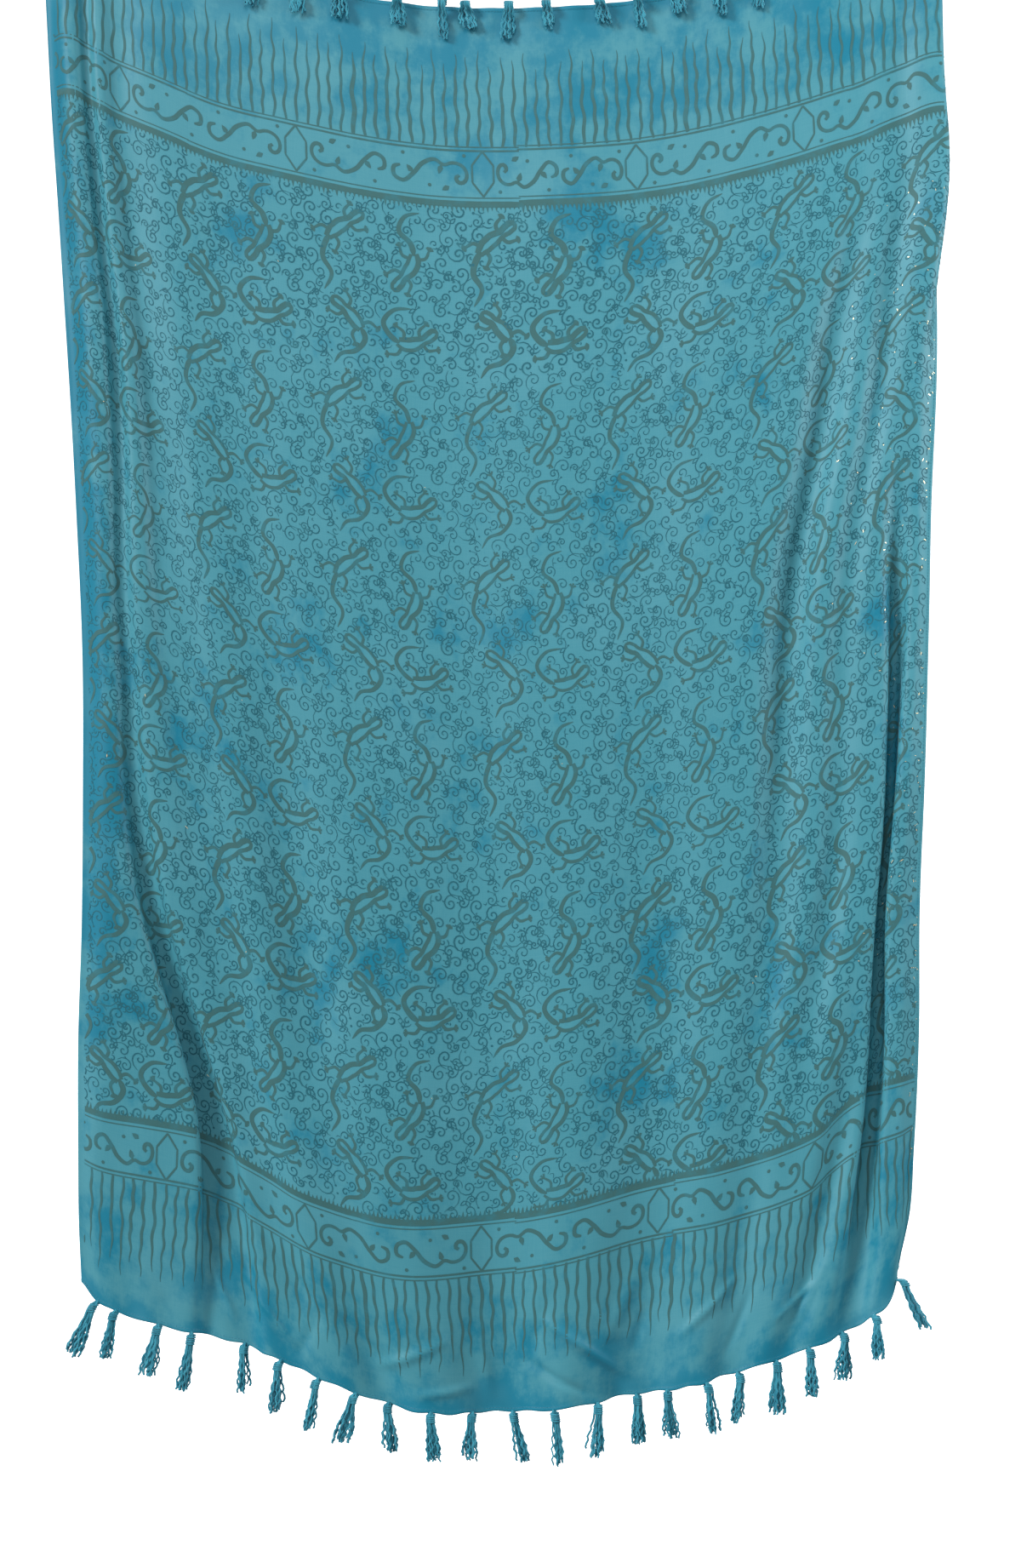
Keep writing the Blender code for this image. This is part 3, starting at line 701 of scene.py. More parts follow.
def clear_stretches(path, bodies):
    """The stretches of a path that stay off the geckos on a stamp that repeats."""
    size = np.array([STAMP_WIDTH, STAMP_HEIGHT])
    gap = np.abs(path[:, None] % size - bodies[None, :, :2])
    gap = np.minimum(gap, size - gap)
    clear = (np.hypot(gap[..., 0], gap[..., 1]) - bodies[:, 2]).min(1) > 1.9 * MM
    cuts = np.flatnonzero(np.diff(clear.astype(int))) + 1
    for piece, kept_piece in zip(np.split(path, cuts), np.split(clear, cuts)):
        if kept_piece[0] and len(piece) > 2:
            yield piece


def bowed(start, end, bow):
    """A link from start to end that leans to one side, as five points."""
    t = np.linspace(0, 1, 5)[:, None]
    along = end - start
    return start + along * t + np.array([-along[1], along[0]]) * bow * 4 * t * (1 - t)


def field_stamp():
    """The stamp of the field: heavy geckos on a ground of fine curls that vines join, leaves and dots."""
    drawing, rng = Drawing(), np.random.default_rng(11)
    size = np.array([STAMP_WIDTH, STAMP_HEIGHT])
    bodies = np.concatenate([draw_gecko(drawing, gecko) for gecko in GECKOS])
    bodies[:, :2] %= size
    drawing.weight = 0.0
    places, radii = curl_places(rng, bodies)
    for number, (centre, radius) in enumerate(zip(places, radii)):
        start, hand = rng.random() * 2 * np.pi, 1 if number % 2 else -1
        path = curl_path(centre, radius * 0.92, 1.05 + 0.3 * rng.random() + 40 * radius, start, hand)
        for stretch in clear_stretches(path, bodies):
            drawing.stroke(stretch, LINE * (0.9 + 0.35 * rng.random()), step=None)
        others = (places - centre + size / 2) % size - size / 2
        far = np.hypot(*others.T)
        for near in np.argsort(far)[1:3]:
            if far[near] < LINK_REACH and near > number:
                away = others[near] / far[near]
                link = bowed(centre + away * radius, centre + others[near] - away * radii[near], 0.5 * hand)
                for stretch in clear_stretches(link, bodies):
                    drawing.stroke(stretch, LINE, step=None)
        if number % 5 < 2:
            away = unit(path[0] - path[1])
            for bend in (0.6, -0.9)[:1 + number % 2]:
                c, s = math.cos(bend), math.sin(bend)
                turned = np.array([[c, -s], [s, c]]) @ away
                rib = path[0] + turned * np.linspace(0, 9, 5)[:, None] * MM
                if len(list(clear_stretches(rib, bodies))) == 1:
                    drawing.open_leaf(path[0], turned, 8.5 * MM, 4.4 * MM)
        elif number % 5 == 3:
            drawing.dot(path[0], 1.3 * MM)
    return drawing


def lower_shift(across):
    return through(SHIFT_PLACES, SHIFTS, across)


def draw_band(drawing, diamonds, rng):
    """One border, drawn as (across, towards the field), with 0 at its double line."""
    depth = TOP_BAND_END - TOP_STRIPES_END
    for joint in np.arange(0, CLOTH_WIDTH, BORDER_STAMP):
        end = min(joint + BORDER_STAMP + 2 * MM, CLOTH_WIDTH)
        step_over = (rng.random() - 0.5) * 3 * MM
        for line, width in ((-4.4 * MM, 1.4), (0.0, 2.3), (depth - INNER_LINE, 1.4), (depth, 7.2)):
            ends = [(joint, line + step_over), (end, line + step_over)]
            drawing.stroke(ends, width * MM, step=5 * MM, taper=0.8)
    for place in np.arange(8 * MM, CLOTH_WIDTH, STRIPE_PITCH):
        draw_stripe(drawing, place, rng)
    for tooth in np.arange(0, CLOTH_WIDTH, 5.2 * MM):
        reach = (6.5 + 5.5 * rng.random()) * MM
        drawing.shape([(tooth, depth), (tooth + 5.0 * MM, depth), (tooth + 3.2 * MM, depth + reach)])
    half_way = (depth - INNER_LINE) / 2
    for middle in diamonds:
        tall, wide, square = half_way - 1.0 * MM, 12.5 * MM, 10 * MM
        corners = [(0, -tall), (wide, -square), (wide, square), (0, tall), (-wide, square), (-wide, -square)]
        corners = np.array(corners + corners[:1]) + (middle, half_way)
        for start, end in zip(corners, corners[1:]):
            drawing.stroke([start, end], DIAMOND_LINE, taper=0.9)
    stops = [-PAST_SELVEDGE, *diamonds, CLOTH_WIDTH + PAST_SELVEDGE]
    for left, right in zip(stops, stops[1:]):
        draw_scrolls(drawing, left + SCROLL_CLEARANCE, right - SCROLL_CLEARANCE, half_way)


def draw_stripe(drawing, place, rng):
    """One pointed stripe that wavers, from the double line towards the hem."""
    number = int(round(place / STRIPE_PITCH))
    length = (112 if number % 2 else 98) * MM + rng.normal() * 4 * MM
    t = np.linspace(0, 1, 24)
    phase = rng.random(3) * 6
    waver = 0.9 * MM * np.sin(2 * np.pi * t * length / ((24 + 3 * phase[0]) * MM) + phase[1])
    waver += 0.9 * MM * np.sin(2 * np.pi * t * length / (61 * MM) + phase[2]) + (phase[0] - 3) * 0.6 * MM * t
    at_joint = abs(place % BORDER_STAMP) < STRIPE_PITCH / 2
    widths = np.array([3.0, 3.8, 3.2, 3.4, 2.2, 0.5]) * (1.5 if at_joint else 0.85 + 0.3 * rng.random()) * MM
    drawing.stroke(np.stack([place + waver, -4.2 * MM - t * length], -1), widths, step=3.5 * MM, taper=0.9)


def draw_scrolls(drawing, left, right, half_way):
    """Scrolls between two diamonds, mirrored about the middle. Each winds out of a curl and hooks back."""
    count = max(2, int(round((right - left) / (80 * MM))))
    pitch = (right - left) / count
    spiral = curl_path((12, 3), 9.5, 1.2, math.radians(-35), -1, 24)[::-1]
    tail = np.array([(36, -11.0), (47, -7.0), (57, 3.0), (67, 9.5), (75, 6.0), (75, -1.5), (69, -3.5)])
    for number in range(count):
        flip = 1 if number < count / 2 else -1
        up = 1 if number % 2 else -1
        start = left + pitch * (number if flip == 1 else number + 1)

        def put(points):
            return np.asarray(points) * (flip * pitch / 80, 1.4 * up * MM) + (start, half_way)

        drawing.stroke(put(np.concatenate([spiral, tail])), SCROLL_WIDTHS, taper=0.5)
        for root, lean, length in (((29, -7), (0.3, 1.0), 12), ((22, 11), (1.0, 0.6), 10),
                                   ((57, 2), (0.7, -0.9), 11)):
            direction = unit(np.array([lean[0] * flip, lean[1] * up]))
            drawing.leaf(put([root])[0], direction, length * MM, 6.4 * MM)
        for middle in ((41, 11), (7, -15), (66, -14)):
            drawing.dot(put([middle])[0], 2.3 * MM)


def printed_design():
    """The whole print as {name: (places, faces)}, with each place as (across, down, level, weight)."""
    rng = np.random.default_rng(5)
    stamp = field_stamp()
    halves = {"upper": [], "lower": []}
    for row in range(FIELD_ROWS):
        for column in range(FIELD_COLUMNS):
            ink = 1.0 + 0.10 * rng.normal() + (0.22 if row in (0, 4) else 0.0)
            slip = rng.normal(size=2) * 0.9 * MM
            corner = np.array([
                column * STAMP_WIDTH + FIELD_LEFT, TOP_BAND_END + 4 * MM + row * STAMP_HEIGHT])
            level = (row * FIELD_COLUMNS + column) * GOLDEN_SHARE
            places, faces = stamp.stamped(min(max(ink, 0.8), 1.4), level)
            places[:, :2] += corner + slip
            halves["upper" if row < FIELD_ROWS // 2 else "lower"].append((places, faces))
    pieces = {}
    for name, stamps in halves.items():
        places, faces = joined(stamps)
        low_limit = LOW_BAND_START - lower_shift(places[:, 0]) - 3 * MM
        printable = (places[:, 0] > 8 * MM) & (places[:, 0] < CLOTH_WIDTH - 5 * MM)
        printable &= (places[:, 1] > TOP_BAND_END + 6 * MM) & (places[:, 1] < low_limit)
        pieces[f"field_{name}"] = kept(places, faces, printable)
    borders = []
    for diamonds, at_top in ((TOP_DIAMONDS, True), (LOW_DIAMONDS, False)):
        drawing = Drawing()
        draw_band(drawing, diamonds, rng)
        places, faces = drawing.stamped()
        if at_top:
            places[:, 1] = TOP_STRIPES_END + places[:, 1]
        else:
            places[:, 1] = LOW_BAND_END - lower_shift(places[:, 0]) - places[:, 1]
        borders.append((places, faces))
    places, faces = joined(borders)
    printable = (places[:, 0] > 8 * MM) & (places[:, 0] < CLOTH_WIDTH - 4 * MM)
    pieces["borders"] = kept(places, faces, printable)
    return pieces


def joined(parts):
    counts = np.cumsum([0] + [len(places) for places, _ in parts[:-1]])
    return (np.concatenate([places for places, _ in parts]),
            np.concatenate([faces + count for (_, faces), count in zip(parts, counts)]))


def kept(places, faces, wanted):
    """Only the faces whose points are all wanted, and only their points."""
    faces = faces[wanted[faces].all(1)]
    used, index = np.unique(faces, return_inverse=True)
    return places[used], index.reshape(-1, 3)


def laid_on(cloth, name, places, faces, side, lift, material):
    """A flat drawing laid on one face of the cloth: a mesh that clings to it, wound to face out of it."""
    a, b, c = (places[faces[:, corner], :2] for corner in range(3))
    turn = (b - a)[:, 0] * (c - a)[:, 1] - (b - a)[:, 1] * (c - a)[:, 0]
    faces = np.where((turn * side > 0)[:, None], faces[:, ::-1], faces)[np.abs(turn) > SMALLEST_FACE]
    above = lift * (0.7 + 0.6 * places[:, 2])[:, None]
    points, normals = cloth.at(places[:, 0], places[:, 1], side, above)
    piece = mesh_object(name, points, faces, material, places[:, :2], normals)
    set_values(piece, "weight", places[:, 3])
    return piece


def set_values(piece, name, values):
    """One number for each point of a piece, for its material to read."""
    attribute = piece.data.attributes.new(name, "FLOAT", "POINT")
    attribute.data.foreach_set("value", np.asarray(values, np.float32))


# -------- pieces made by geometry nodes

def new_tree(name, sockets):
    """An empty geometry tree with a Geometry input and output and these named number inputs, then what comes
    in and the node that it goes out by."""
    tree = bpy.data.node_groups.new(name, "GeometryNodeTree")
    tree.interface.new_socket("Geometry", in_out="INPUT", socket_type="NodeSocketGeometry")
    tree.interface.new_socket("Geometry", in_out="OUTPUT", socket_type="NodeSocketGeometry")
    for label, kind in sockets:
        tree.interface.new_socket(label, in_out="INPUT", socket_type=f"NodeSocket{kind}")
    return tree, tree.nodes.new("NodeGroupInput").outputs, tree.nodes.new("NodeGroupOutput")


def finish_tree(tree, geometry, material, output):
    """Ends a tree in smooth shading, Realize Instances and Set Material."""
    smooth = add_node(tree, "GeometryNodeSetShadeSmooth", {"Geometry": geometry})
    real = add_node(tree, "GeometryNodeRealizeInstances", {0: smooth})
    dressed = add_node(tree, "GeometryNodeSetMaterial", {"Geometry": real, "Material": material})
    tree.links.new(dressed, output.inputs[0])
    return tree


def open_input(curve, label):
    """The input with this name that a node shows in its present mode."""
    return next(socket for socket in curve.node.inputs if socket.name == label and socket.enabled)


def tassel_tree(material):
    """A bunch of crimped yarns along a curve. It is bound near its root and splays to a frayed end."""
    tree, take, output = new_tree("tassel_of_yarns", (
        ("Yarns", "Int"), ("Yarn Radius", "Float"), ("Waist", "Float"), ("Spread", "Float"),
        ("Flatness", "Float"), ("Crimp", "Float"), ("Shortest", "Float"), ("Seed", "Int")))
    even = add_node(tree, "GeometryNodeResampleCurve", {"Curve": take["Geometry"], "Count": 17})
    bunch = add_node(tree, "GeometryNodeDuplicateElements", {"Geometry": even, "Amount": take["Yarns"]},
                     domain="SPLINE")
    known = {socket.name: socket for socket in take}
    known["along"] = add_node(tree, "GeometryNodeSplineParameter", out="Factor")
    # What differs from yarn to yarn: (name, lowest, highest, added to the seed)
    for name, low, high, more in (("angle", 0.0, 2 * math.pi, 0), ("reach", 0.1, 1.0, 71),
                                  ("thickness", 0.45, 1.15, 71), ("end", 0.0, 1.0, 153)):
        seed = add_node(tree, MATH, {0: take["Seed"], 1: more}, operation="ADD")
        chance = {2: low, 3: high, "ID": bunch.node.outputs[1], "Seed": seed}
        known[name] = add_node(tree, "FunctionNodeRandomValue", chance, 1, data_type="FLOAT")
    # What changes smoothly: (name, by what, from, to, first, last)
    for name, value, start, stop, first, last in (
            ("splay", "along", 0.22, 0.80, "Waist", "Spread"), ("pinch", "along", 0.0, 0.10, 0.15, 1.0),
            ("wave", "along", 0.2, 0.6, 0.1, 1.0), ("length", "end", 0.0, 1.0, "Shortest", 1.0)):
        known[name] = add_node(tree, RANGE, {
            "Value": known[value], "From Min": start, "From Max": stop, "To Min": known.get(first, first),
            "To Max": known.get(last, last)}, interpolation_type="SMOOTHSTEP")
    # Each yarn's offset from the middle of the tassel, then that of the yarn wound four times round its neck
    for name, operation, *terms in (
            ("radius", "MULTIPLY", "splay", "pinch"), ("radius", "MULTIPLY", "radius", "reach"),
            ("phase", "MULTIPLY", "angle", 5.0), ("phase", "MULTIPLY_ADD", "along", 34.0, "phase"),
            ("crimp", "MULTIPLY", "Crimp", "wave"), ("across", "COSINE", "angle"), ("deep", "SINE", "angle"),
            ("sway", "SINE", "phase"), ("nod", "COSINE", "phase"),
            ("across", "MULTIPLY", "across", "radius"), ("deep", "MULTIPLY", "deep", "radius"),
            ("across", "MULTIPLY_ADD", "sway", "crimp", "across"),
            ("deep", "MULTIPLY_ADD", "nod", "crimp", "deep"), ("deep", "MULTIPLY", "deep", "Flatness"),
            ("turn", "MULTIPLY", "along", 8 * math.pi), ("hold", "MULTIPLY", "Waist", 1.05),
            ("wound", "COSINE", "turn"), ("wound", "MULTIPLY", "wound", "hold"), ("bulge", "SINE", "turn"),
            ("bulge", "MULTIPLY", "bulge", "hold"), ("bulge", "MULTIPLY", "bulge", "Flatness")):
        inputs = {slot: known.get(term, term) for slot, term in enumerate(terms)}
        known[name] = add_node(tree, MATH, inputs, operation=operation)
    offset = add_node(tree, "ShaderNodeCombineXYZ", {"X": known["across"], "Y": known["deep"]})
    splayed = add_node(tree, "GeometryNodeSetPosition", {"Geometry": bunch, "Offset": offset})
    cut = add_node(tree, "GeometryNodeTrimCurve", {"Curve": splayed})
    tree.links.new(known["length"], open_input(cut, "End"))
    neck = add_node(tree, "GeometryNodeTrimCurve", {"Curve": take["Geometry"]})
    open_input(neck, "Start").default_value = 0.06
    open_input(neck, "End").default_value = 0.21
    coil = add_node(tree, "ShaderNodeCombineXYZ", {"X": known["wound"], "Y": known["bulge"]})
    round_neck = add_node(tree, "GeometryNodeResampleCurve", {"Curve": neck, "Count": 40})
    bound = add_node(tree, "GeometryNodeSetPosition", {"Geometry": round_neck, "Offset": coil})
    ring = add_node(tree, "GeometryNodeCurvePrimitiveCircle",
                    {"Resolution": 4, "Radius": take["Yarn Radius"]})
    both = tree.nodes.new("GeometryNodeJoinGeometry")
    thick = add_node(tree, "GeometryNodeSetCurveRadius", {"Curve": cut, "Radius": known["thickness"]})
    for part in (thick, bound):
        yarn = add_node(tree, "GeometryNodeCurveToMesh",
                        {"Curve": part, "Profile Curve": ring, "Fill Caps": True})
        tree.links.new(yarn, both.inputs[0])
    return finish_tree(tree, both.outputs[0], material, output)


def stitch_tree(material):
    """Short stitches along a curve: one small bar to each step, turned to follow it."""
    tree, take, output = new_tree("row_of_stitches", (
        ("Step", "Float"), ("Stitch", "Float"), ("Thread", "Float")))
    points = add_node(tree, "GeometryNodeCurveToPoints", {"Curve": take["Geometry"], "Length": take["Step"]},
                      mode="LENGTH")
    bar = add_node(tree, "GeometryNodeMeshCylinder",
                   {"Vertices": 5, "Radius": take["Thread"], "Depth": take["Stitch"]}, "Mesh")
    turned = add_node(tree, "FunctionNodeAlignRotationToVector", {"Vector": points.node.outputs["Tangent"]},
                      axis="Z")
    placed = add_node(tree, "GeometryNodeInstanceOnPoints",
                      {"Points": points, "Instance": bar, "Rotation": turned})
    return finish_tree(tree, placed, material, output)


def grown_along(name, path, tree, **inputs):
    """The plain mesh that a geometry tree makes along one path."""
    curve = bpy.data.curves.new(name, "CURVE")
    curve.dimensions = "3D"
    spline = curve.splines.new("POLY")
    spline.points.add(len(path) - 1)
    for point, place in zip(spline.points, path):
        point.co = (*place, 1.0)
    guide = bpy.data.objects.new(f"{name}_guide", curve)
    bpy.context.scene.collection.objects.link(guide)
    modifier = guide.modifiers.new("grow", "NODES")
    modifier.node_group = tree
    sockets = {item.name: item.identifier for item in tree.interface.items_tree if item.in_out == "INPUT"}
    for label, value in inputs.items():
        modifier[sockets[label.replace("_", " ")]] = value
    evaluated = guide.evaluated_get(bpy.context.evaluated_depsgraph_get())
    mesh = bpy.data.meshes.new_from_object(evaluated)
    mesh.name = name
    bpy.data.objects.remove(guide)
    bpy.data.curves.remove(curve)
    piece = bpy.data.objects.new(name, mesh)
    bpy.context.scene.collection.objects.link(piece)
    return piece


# -------- the pieces

# How far inside the hem a tassel starts, and from one point of its guide to the next
INSIDE_HEM = 1.5 * MM
GUIDE_STEP = 1.5 * MM
# How deeply the dye soaked into each hem; the bottom band is also painted shade, darkening the lower end
WICKED_TOP = 0.62
WICKED_BOTTOM_AND_SHADE = 0.46
# What the operators have made so far: the cloth as a surface, its sheet and all the pieces that hang
made = {"pieces": []}


def hang(piece, slot, *nodes):
    """A finished piece rides on the body and stands for these CAD nodes. The slot is not used."""
    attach(piece, "root")
    if nodes:
        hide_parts(*nodes)
    made["pieces"].append(piece)
    return piece


def dye_and_shade_depth(across, down):
    """How deep the colour is made, from 0: in pools of dye, in painted shade down the left edge, and in
    bands along the hems, of which the bottom one is partly painted shade.
    """
    depth = np.zeros_like(across)
    for blotch in BLOTCHES:
        right = (across - blotch.at[0]) / blotch.reach[0]
        below = (down - blotch.at[1]) / blotch.reach[1]
        depth += blotch.strength * np.exp(-(right ** 2 + below ** 2))
    from_hem = np.minimum(down, CLOTH_LENGTH - down)
    # Bands along the hems: the bottom one is partly painted shade for the darker lower end
    hem_depth_and_shade = np.where(down < CLOTH_LENGTH / 2, WICKED_TOP, WICKED_BOTTOM_AND_SHADE)
    return depth + 0.35 * np.exp(-((from_hem / 0.02) ** 2)) + hem_depth_and_shade * np.exp(-((from_hem / 0.16) ** 4))


def cloth_mesh(cloth, material):
    """Both faces of the cloth and the rim that joins them, as triangles."""
    rows, columns = len(cloth.down), len(cloth.across)
    number = np.arange(rows * columns).reshape(rows, columns)
    corners = (number[:-1, :-1], number[1:, :-1], number[1:, 1:], number[:-1, 1:])
    a, b, c, d = (corner.ravel() for corner in corners)
    front = np.concatenate([np.stack([a, b, c], 1), np.stack([a, c, d], 1)])
    back = front[:, ::-1] + rows * columns
    loop = np.concatenate([number[0, :-1], number[:-1, -1], number[-1, :0:-1], number[:0:-1, 0]])
    ahead = np.roll(loop, -1)
    behind, behind_ahead = loop + rows * columns, ahead + rows * columns
    rim = [np.stack(edge, 1) for edge in ((loop, ahead, behind_ahead), (loop, behind_ahead, behind))]
    points = np.concatenate([cloth.faces_at[side].reshape(-1, 3) for side in (1, -1)])
    u, v = np.meshgrid(cloth.across, cloth.down)
    places = np.tile(np.stack([u.ravel(), v.ravel()], 1), (2, 1))
    piece = mesh_object("hung_cloth", points, np.concatenate([front, back, *rim]), material, places)
    set_values(piece, "dye", dye_and_shade_depth(places[:, 0], places[:, 1]))
    return piece


def flecks():
    """Short dashes of gilding, painted glints, thick down the right side where light catches the cloth and
    thin over the rest.
    """
    drawing, rng = Drawing(), np.random.default_rng(23)
    for number in range(FLECKS):
        if number % 5 < 2:
            place = np.array([CLOTH_WIDTH - (4 + 9 * rng.random()) * MM, 0.15 + 1.35 * rng.random()])
        elif number % 9 == 4:
            place = np.array([0.02 + 0.9 * rng.random(), 0.25 + 1.15 * rng.random()])
        else:
            place = np.array([1.080 + 0.035 * rng.normal(), 0.30 + 0.95 * rng.random()])
        if not 0.012 < place[0] < CLOTH_WIDTH - 0.004:
            continue
        turn = rng.random() * math.pi
        direction = np.array([math.cos(turn), math.sin(turn)])
        drawing.leaf(place, direction, (2.0 + 4.0 * rng.random() ** 3) * MM, (0.7 + 0.5 * rng.random()) * MM)
    return drawing.stamped()


def hem_frame(cloth, across, down):
    """The middle of the hem's edge, and the unit direction straight off it in the hanging plane."""
    places = across + np.array([-3.0, 0.0, 3.0]) * MM
    faces = [cloth.at(places, np.full(3, down), side)[0] for side in (1, -1)]
    before, knot, after = (faces[0] + faces[1]) / 2
    run, climb = after[0] - before[0], after[2] - before[2]
    off = np.array([climb, 0.0, -run]) / math.hypot(run, climb)
    return knot, off if down > CLOTH_LENGTH / 2 else -off


def lower_guide(cloth, tassel):
    """Leaves the hem square to its edge and hangs straight."""
    knot, off = hem_frame(cloth, tassel.across_mm * MM, CLOTH_LENGTH)
    reach = tassel.reach_mm * MM
    head = knot + off * 0.11 * reach
    end = knot + np.array([tassel.sway_mm * MM, 0.0, -reach])
    hanging = [head + (end - head) * share for share in (0.25, 0.6, 1.0)]
    return smooth_path([knot - off * INSIDE_HEM, head, *hanging], GUIDE_STEP)


def upper_guide(cloth, tassel, waist, spread, clear):
    """Rises from the hem, tips over it and hangs down on the printed face, clear of it by half its depth."""
    across = tassel.across_mm * MM
    knot, off = hem_frame(cloth, across, 0.0)
    forward = np.array([0.0, -1.0, 0.0])
    points = [
        knot - off * INSIDE_HEM,
        knot + off * 5.5 * MM + forward * waist,
        knot + off * 2.0 * MM + forward * 3 * waist,
    ]
    for share, radius in ((0.35, waist * 1.2), (0.70, spread), (1.0, spread)):
        down = tassel.reach_mm * MM * share
        span = np.clip(across + np.linspace(-radius, radius, 5), 0, CLOTH_WIDTH)
        foremost = cloth.at(span, np.full(5, max(down, 0.0)), 1)[0][:, 1].min()
        away = knot[1] - foremost + radius * UPPER_FLATNESS + clear
        points.append(knot + np.array([tassel.sway_mm * MM * share, -away, -down]))
    return smooth_path(points, GUIDE_STEP)


# -------- what a user may change

def colour_property(name, description, default):
    return FloatVectorProperty(name=name, description=description, subtype="COLOR", size=4, min=0, max=1,
                               default=default)


def length_property(name, description, default):
    return FloatProperty(name=name, description=description, subtype="DISTANCE", unit="LENGTH",
                         default=default, min=0.0, precision=5)


class SarongCloth(bpy.types.PropertyGroup):
    thickness: length_property("Thickness", "Thickness of the cloth", 0.5 * MM)
    hem_bead: length_property("Hem bead", "How much thicker the rolled hems are", 1.0 * MM)
    ground: colour_property("Ground", "Colour of the dyed cloth", linear("#4B9CAC"))
    # The deep colour is also laid as painted shade down the left edge and over the bottom end
    deep: colour_property("Deep", "Colour where the dye pooled", linear("#00829F"))
    pale: colour_property("Pale", "Colour where the dye washed out", linear("#62AABA"))


class SarongPrint(bpy.types.PropertyGroup):
    lift: length_property("Lift", "How far the print stands off the cloth", 0.25 * MM)
    ink: colour_property("Heavy ink", "Colour of the geckos and borders", linear("#3E7072"))
    fine_ink: colour_property("Fine ink", "Colour of the curls between them", linear("#246C7B"))
    faded: colour_property("Faded ink", "Colour of the lines where little dye took", linear("#36808D"))
    back_ink: colour_property("Ink on the back", "Colour of the lines that came through", linear("#43798A"))
    # The gilt flecks are pale: painted glints on the metal
    gilding: colour_property("Gilding", "Colour of the gilt flecks", linear("#F2E3B0"))


class SarongFringe(bpy.types.PropertyGroup):
    yarns: IntProperty(name="Yarns", description="Yarns in each tassel", default=24, min=3, max=40)
    yarn_radius: length_property("Yarn radius", "Half the thickness of a yarn", 1.3 * MM)
    waist: length_property("Waist", "Radius of a tassel under its knot", 4.6 * MM)
    spread: length_property("Spread", "Radius of a tassel at its end", 10.0 * MM)
    crimp: length_property("Crimp", "How far the yarns wave", 1.2 * MM)
    shortest: FloatProperty(name="Shortest", description="The shortest yarn's share of the longest",
                            default=0.8, min=0.3, max=1, subtype="FACTOR")
    yarn: colour_property("Yarn", "Colour of the yarn", linear("#40A0B6"))
    # The hollows colour is painted shade, which noise mixes into the yarn
    hollow_painted_shade: colour_property("Hollows", "Colour of the yarn in its hollows", linear("#2B879E"))


class SarongStitching(bpy.types.PropertyGroup):
    step: length_property("Step", "From one stitch to the next", 3.6 * MM)
    stitch: length_property("Stitch", "Length of a stitch", 2.3 * MM)
    thread_radius: length_property("Thread radius", "Half the thickness of the thread", 0.22 * MM)
    thread: colour_property("Thread", "Colour of the thread", linear("#3C8CA0"))


class SarongStage(bpy.types.PropertyGroup):
    floor_height: FloatProperty(name="Floor height", description="Height of the floor", default=-2.05,
                                subtype="DISTANCE", unit="LENGTH")
    distance: length_property("Distance", "From the camera to the cloth", 3.4)
    lens: FloatProperty(name="Lens", description="Focal length in millimetres", default=66.4, min=10)
    key_power: FloatProperty(name="Key power", description="Strength of the main light", default=2.2)
    fill_power: FloatProperty(name="Fill power", description="Power of the fill light",
                              default=14.5, unit="POWER")
    rim_power: FloatProperty(name="Rim power", description="Power of the light on the right edge",
                             default=26.0, unit="POWER")
    surround: FloatProperty(name="Surround", description="Strength of the light from all round",
                            default=0.33)
    back_power: FloatProperty(name="Back power", description="Strength of the light on the back",
                              default=1.7)


# -------- the operators

class SARONG_OT_cloth(bpy.types.Operator):
    """Hangs the cloth by its two top corners, with its folds, rolled hems, uneven dye and painted shade"""
    bl_idname = "sarong.hang_cloth"
    bl_label = "Hang the cloth"

    def execute(self, context):
        cut = context.scene.sarong_cloth
        made["cloth"] = HangingCloth(cut.thickness, cut.hem_bead)
        material = rayon_material(cut.ground, cut.deep, cut.pale)
        made["sheet"] = hang(cloth_mesh(made["cloth"], material), "rayon_turquoise", "cloth")
        return {"FINISHED"}


class SARONG_OT_print(bpy.types.Operator):
    """Stamps the field and the two borders on the face, and shows them through on the back"""
    bl_idname = "sarong.stamp_print"
    bl_label = "Stamp the print"

    def execute(self, context):
        dyes = context.scene.sarong_print
        materials = {
            "front": stamped_material("dye_stamped_front", dyes.ink, dyes.fine_ink, dyes.faded),
            "back": stamped_material("dye_stamped_back", dyes.back_ink, dyes.back_ink, dyes.faded),
        }
        for name, (places, faces) in printed_design().items():
            for face, side in SIDES:
                piece = laid_on(made["cloth"], f"print_{name}_{face}", places, faces, side, dyes.lift,
                                materials[face])
                hang(piece, "rayon_turquoise")
        return {"FINISHED"}


class SARONG_OT_gilding(bpy.types.Operator):
    """Dabs short gilt flecks, painted glints, on the face of the cloth, most of them down its right side"""
    bl_idname = "sarong.dab_gilding"
    bl_label = "Dab the gilding"

    def execute(self, context):
        dyes = context.scene.sarong_print
        places, faces = flecks()
        piece = laid_on(made["cloth"], "gilt_flecks_painted_glints", places, faces, 1, 1.8 * dyes.lift,
                        gilt_material(dyes.gilding))
        hang(piece, "rayon_turquoise")
        return {"FINISHED"}


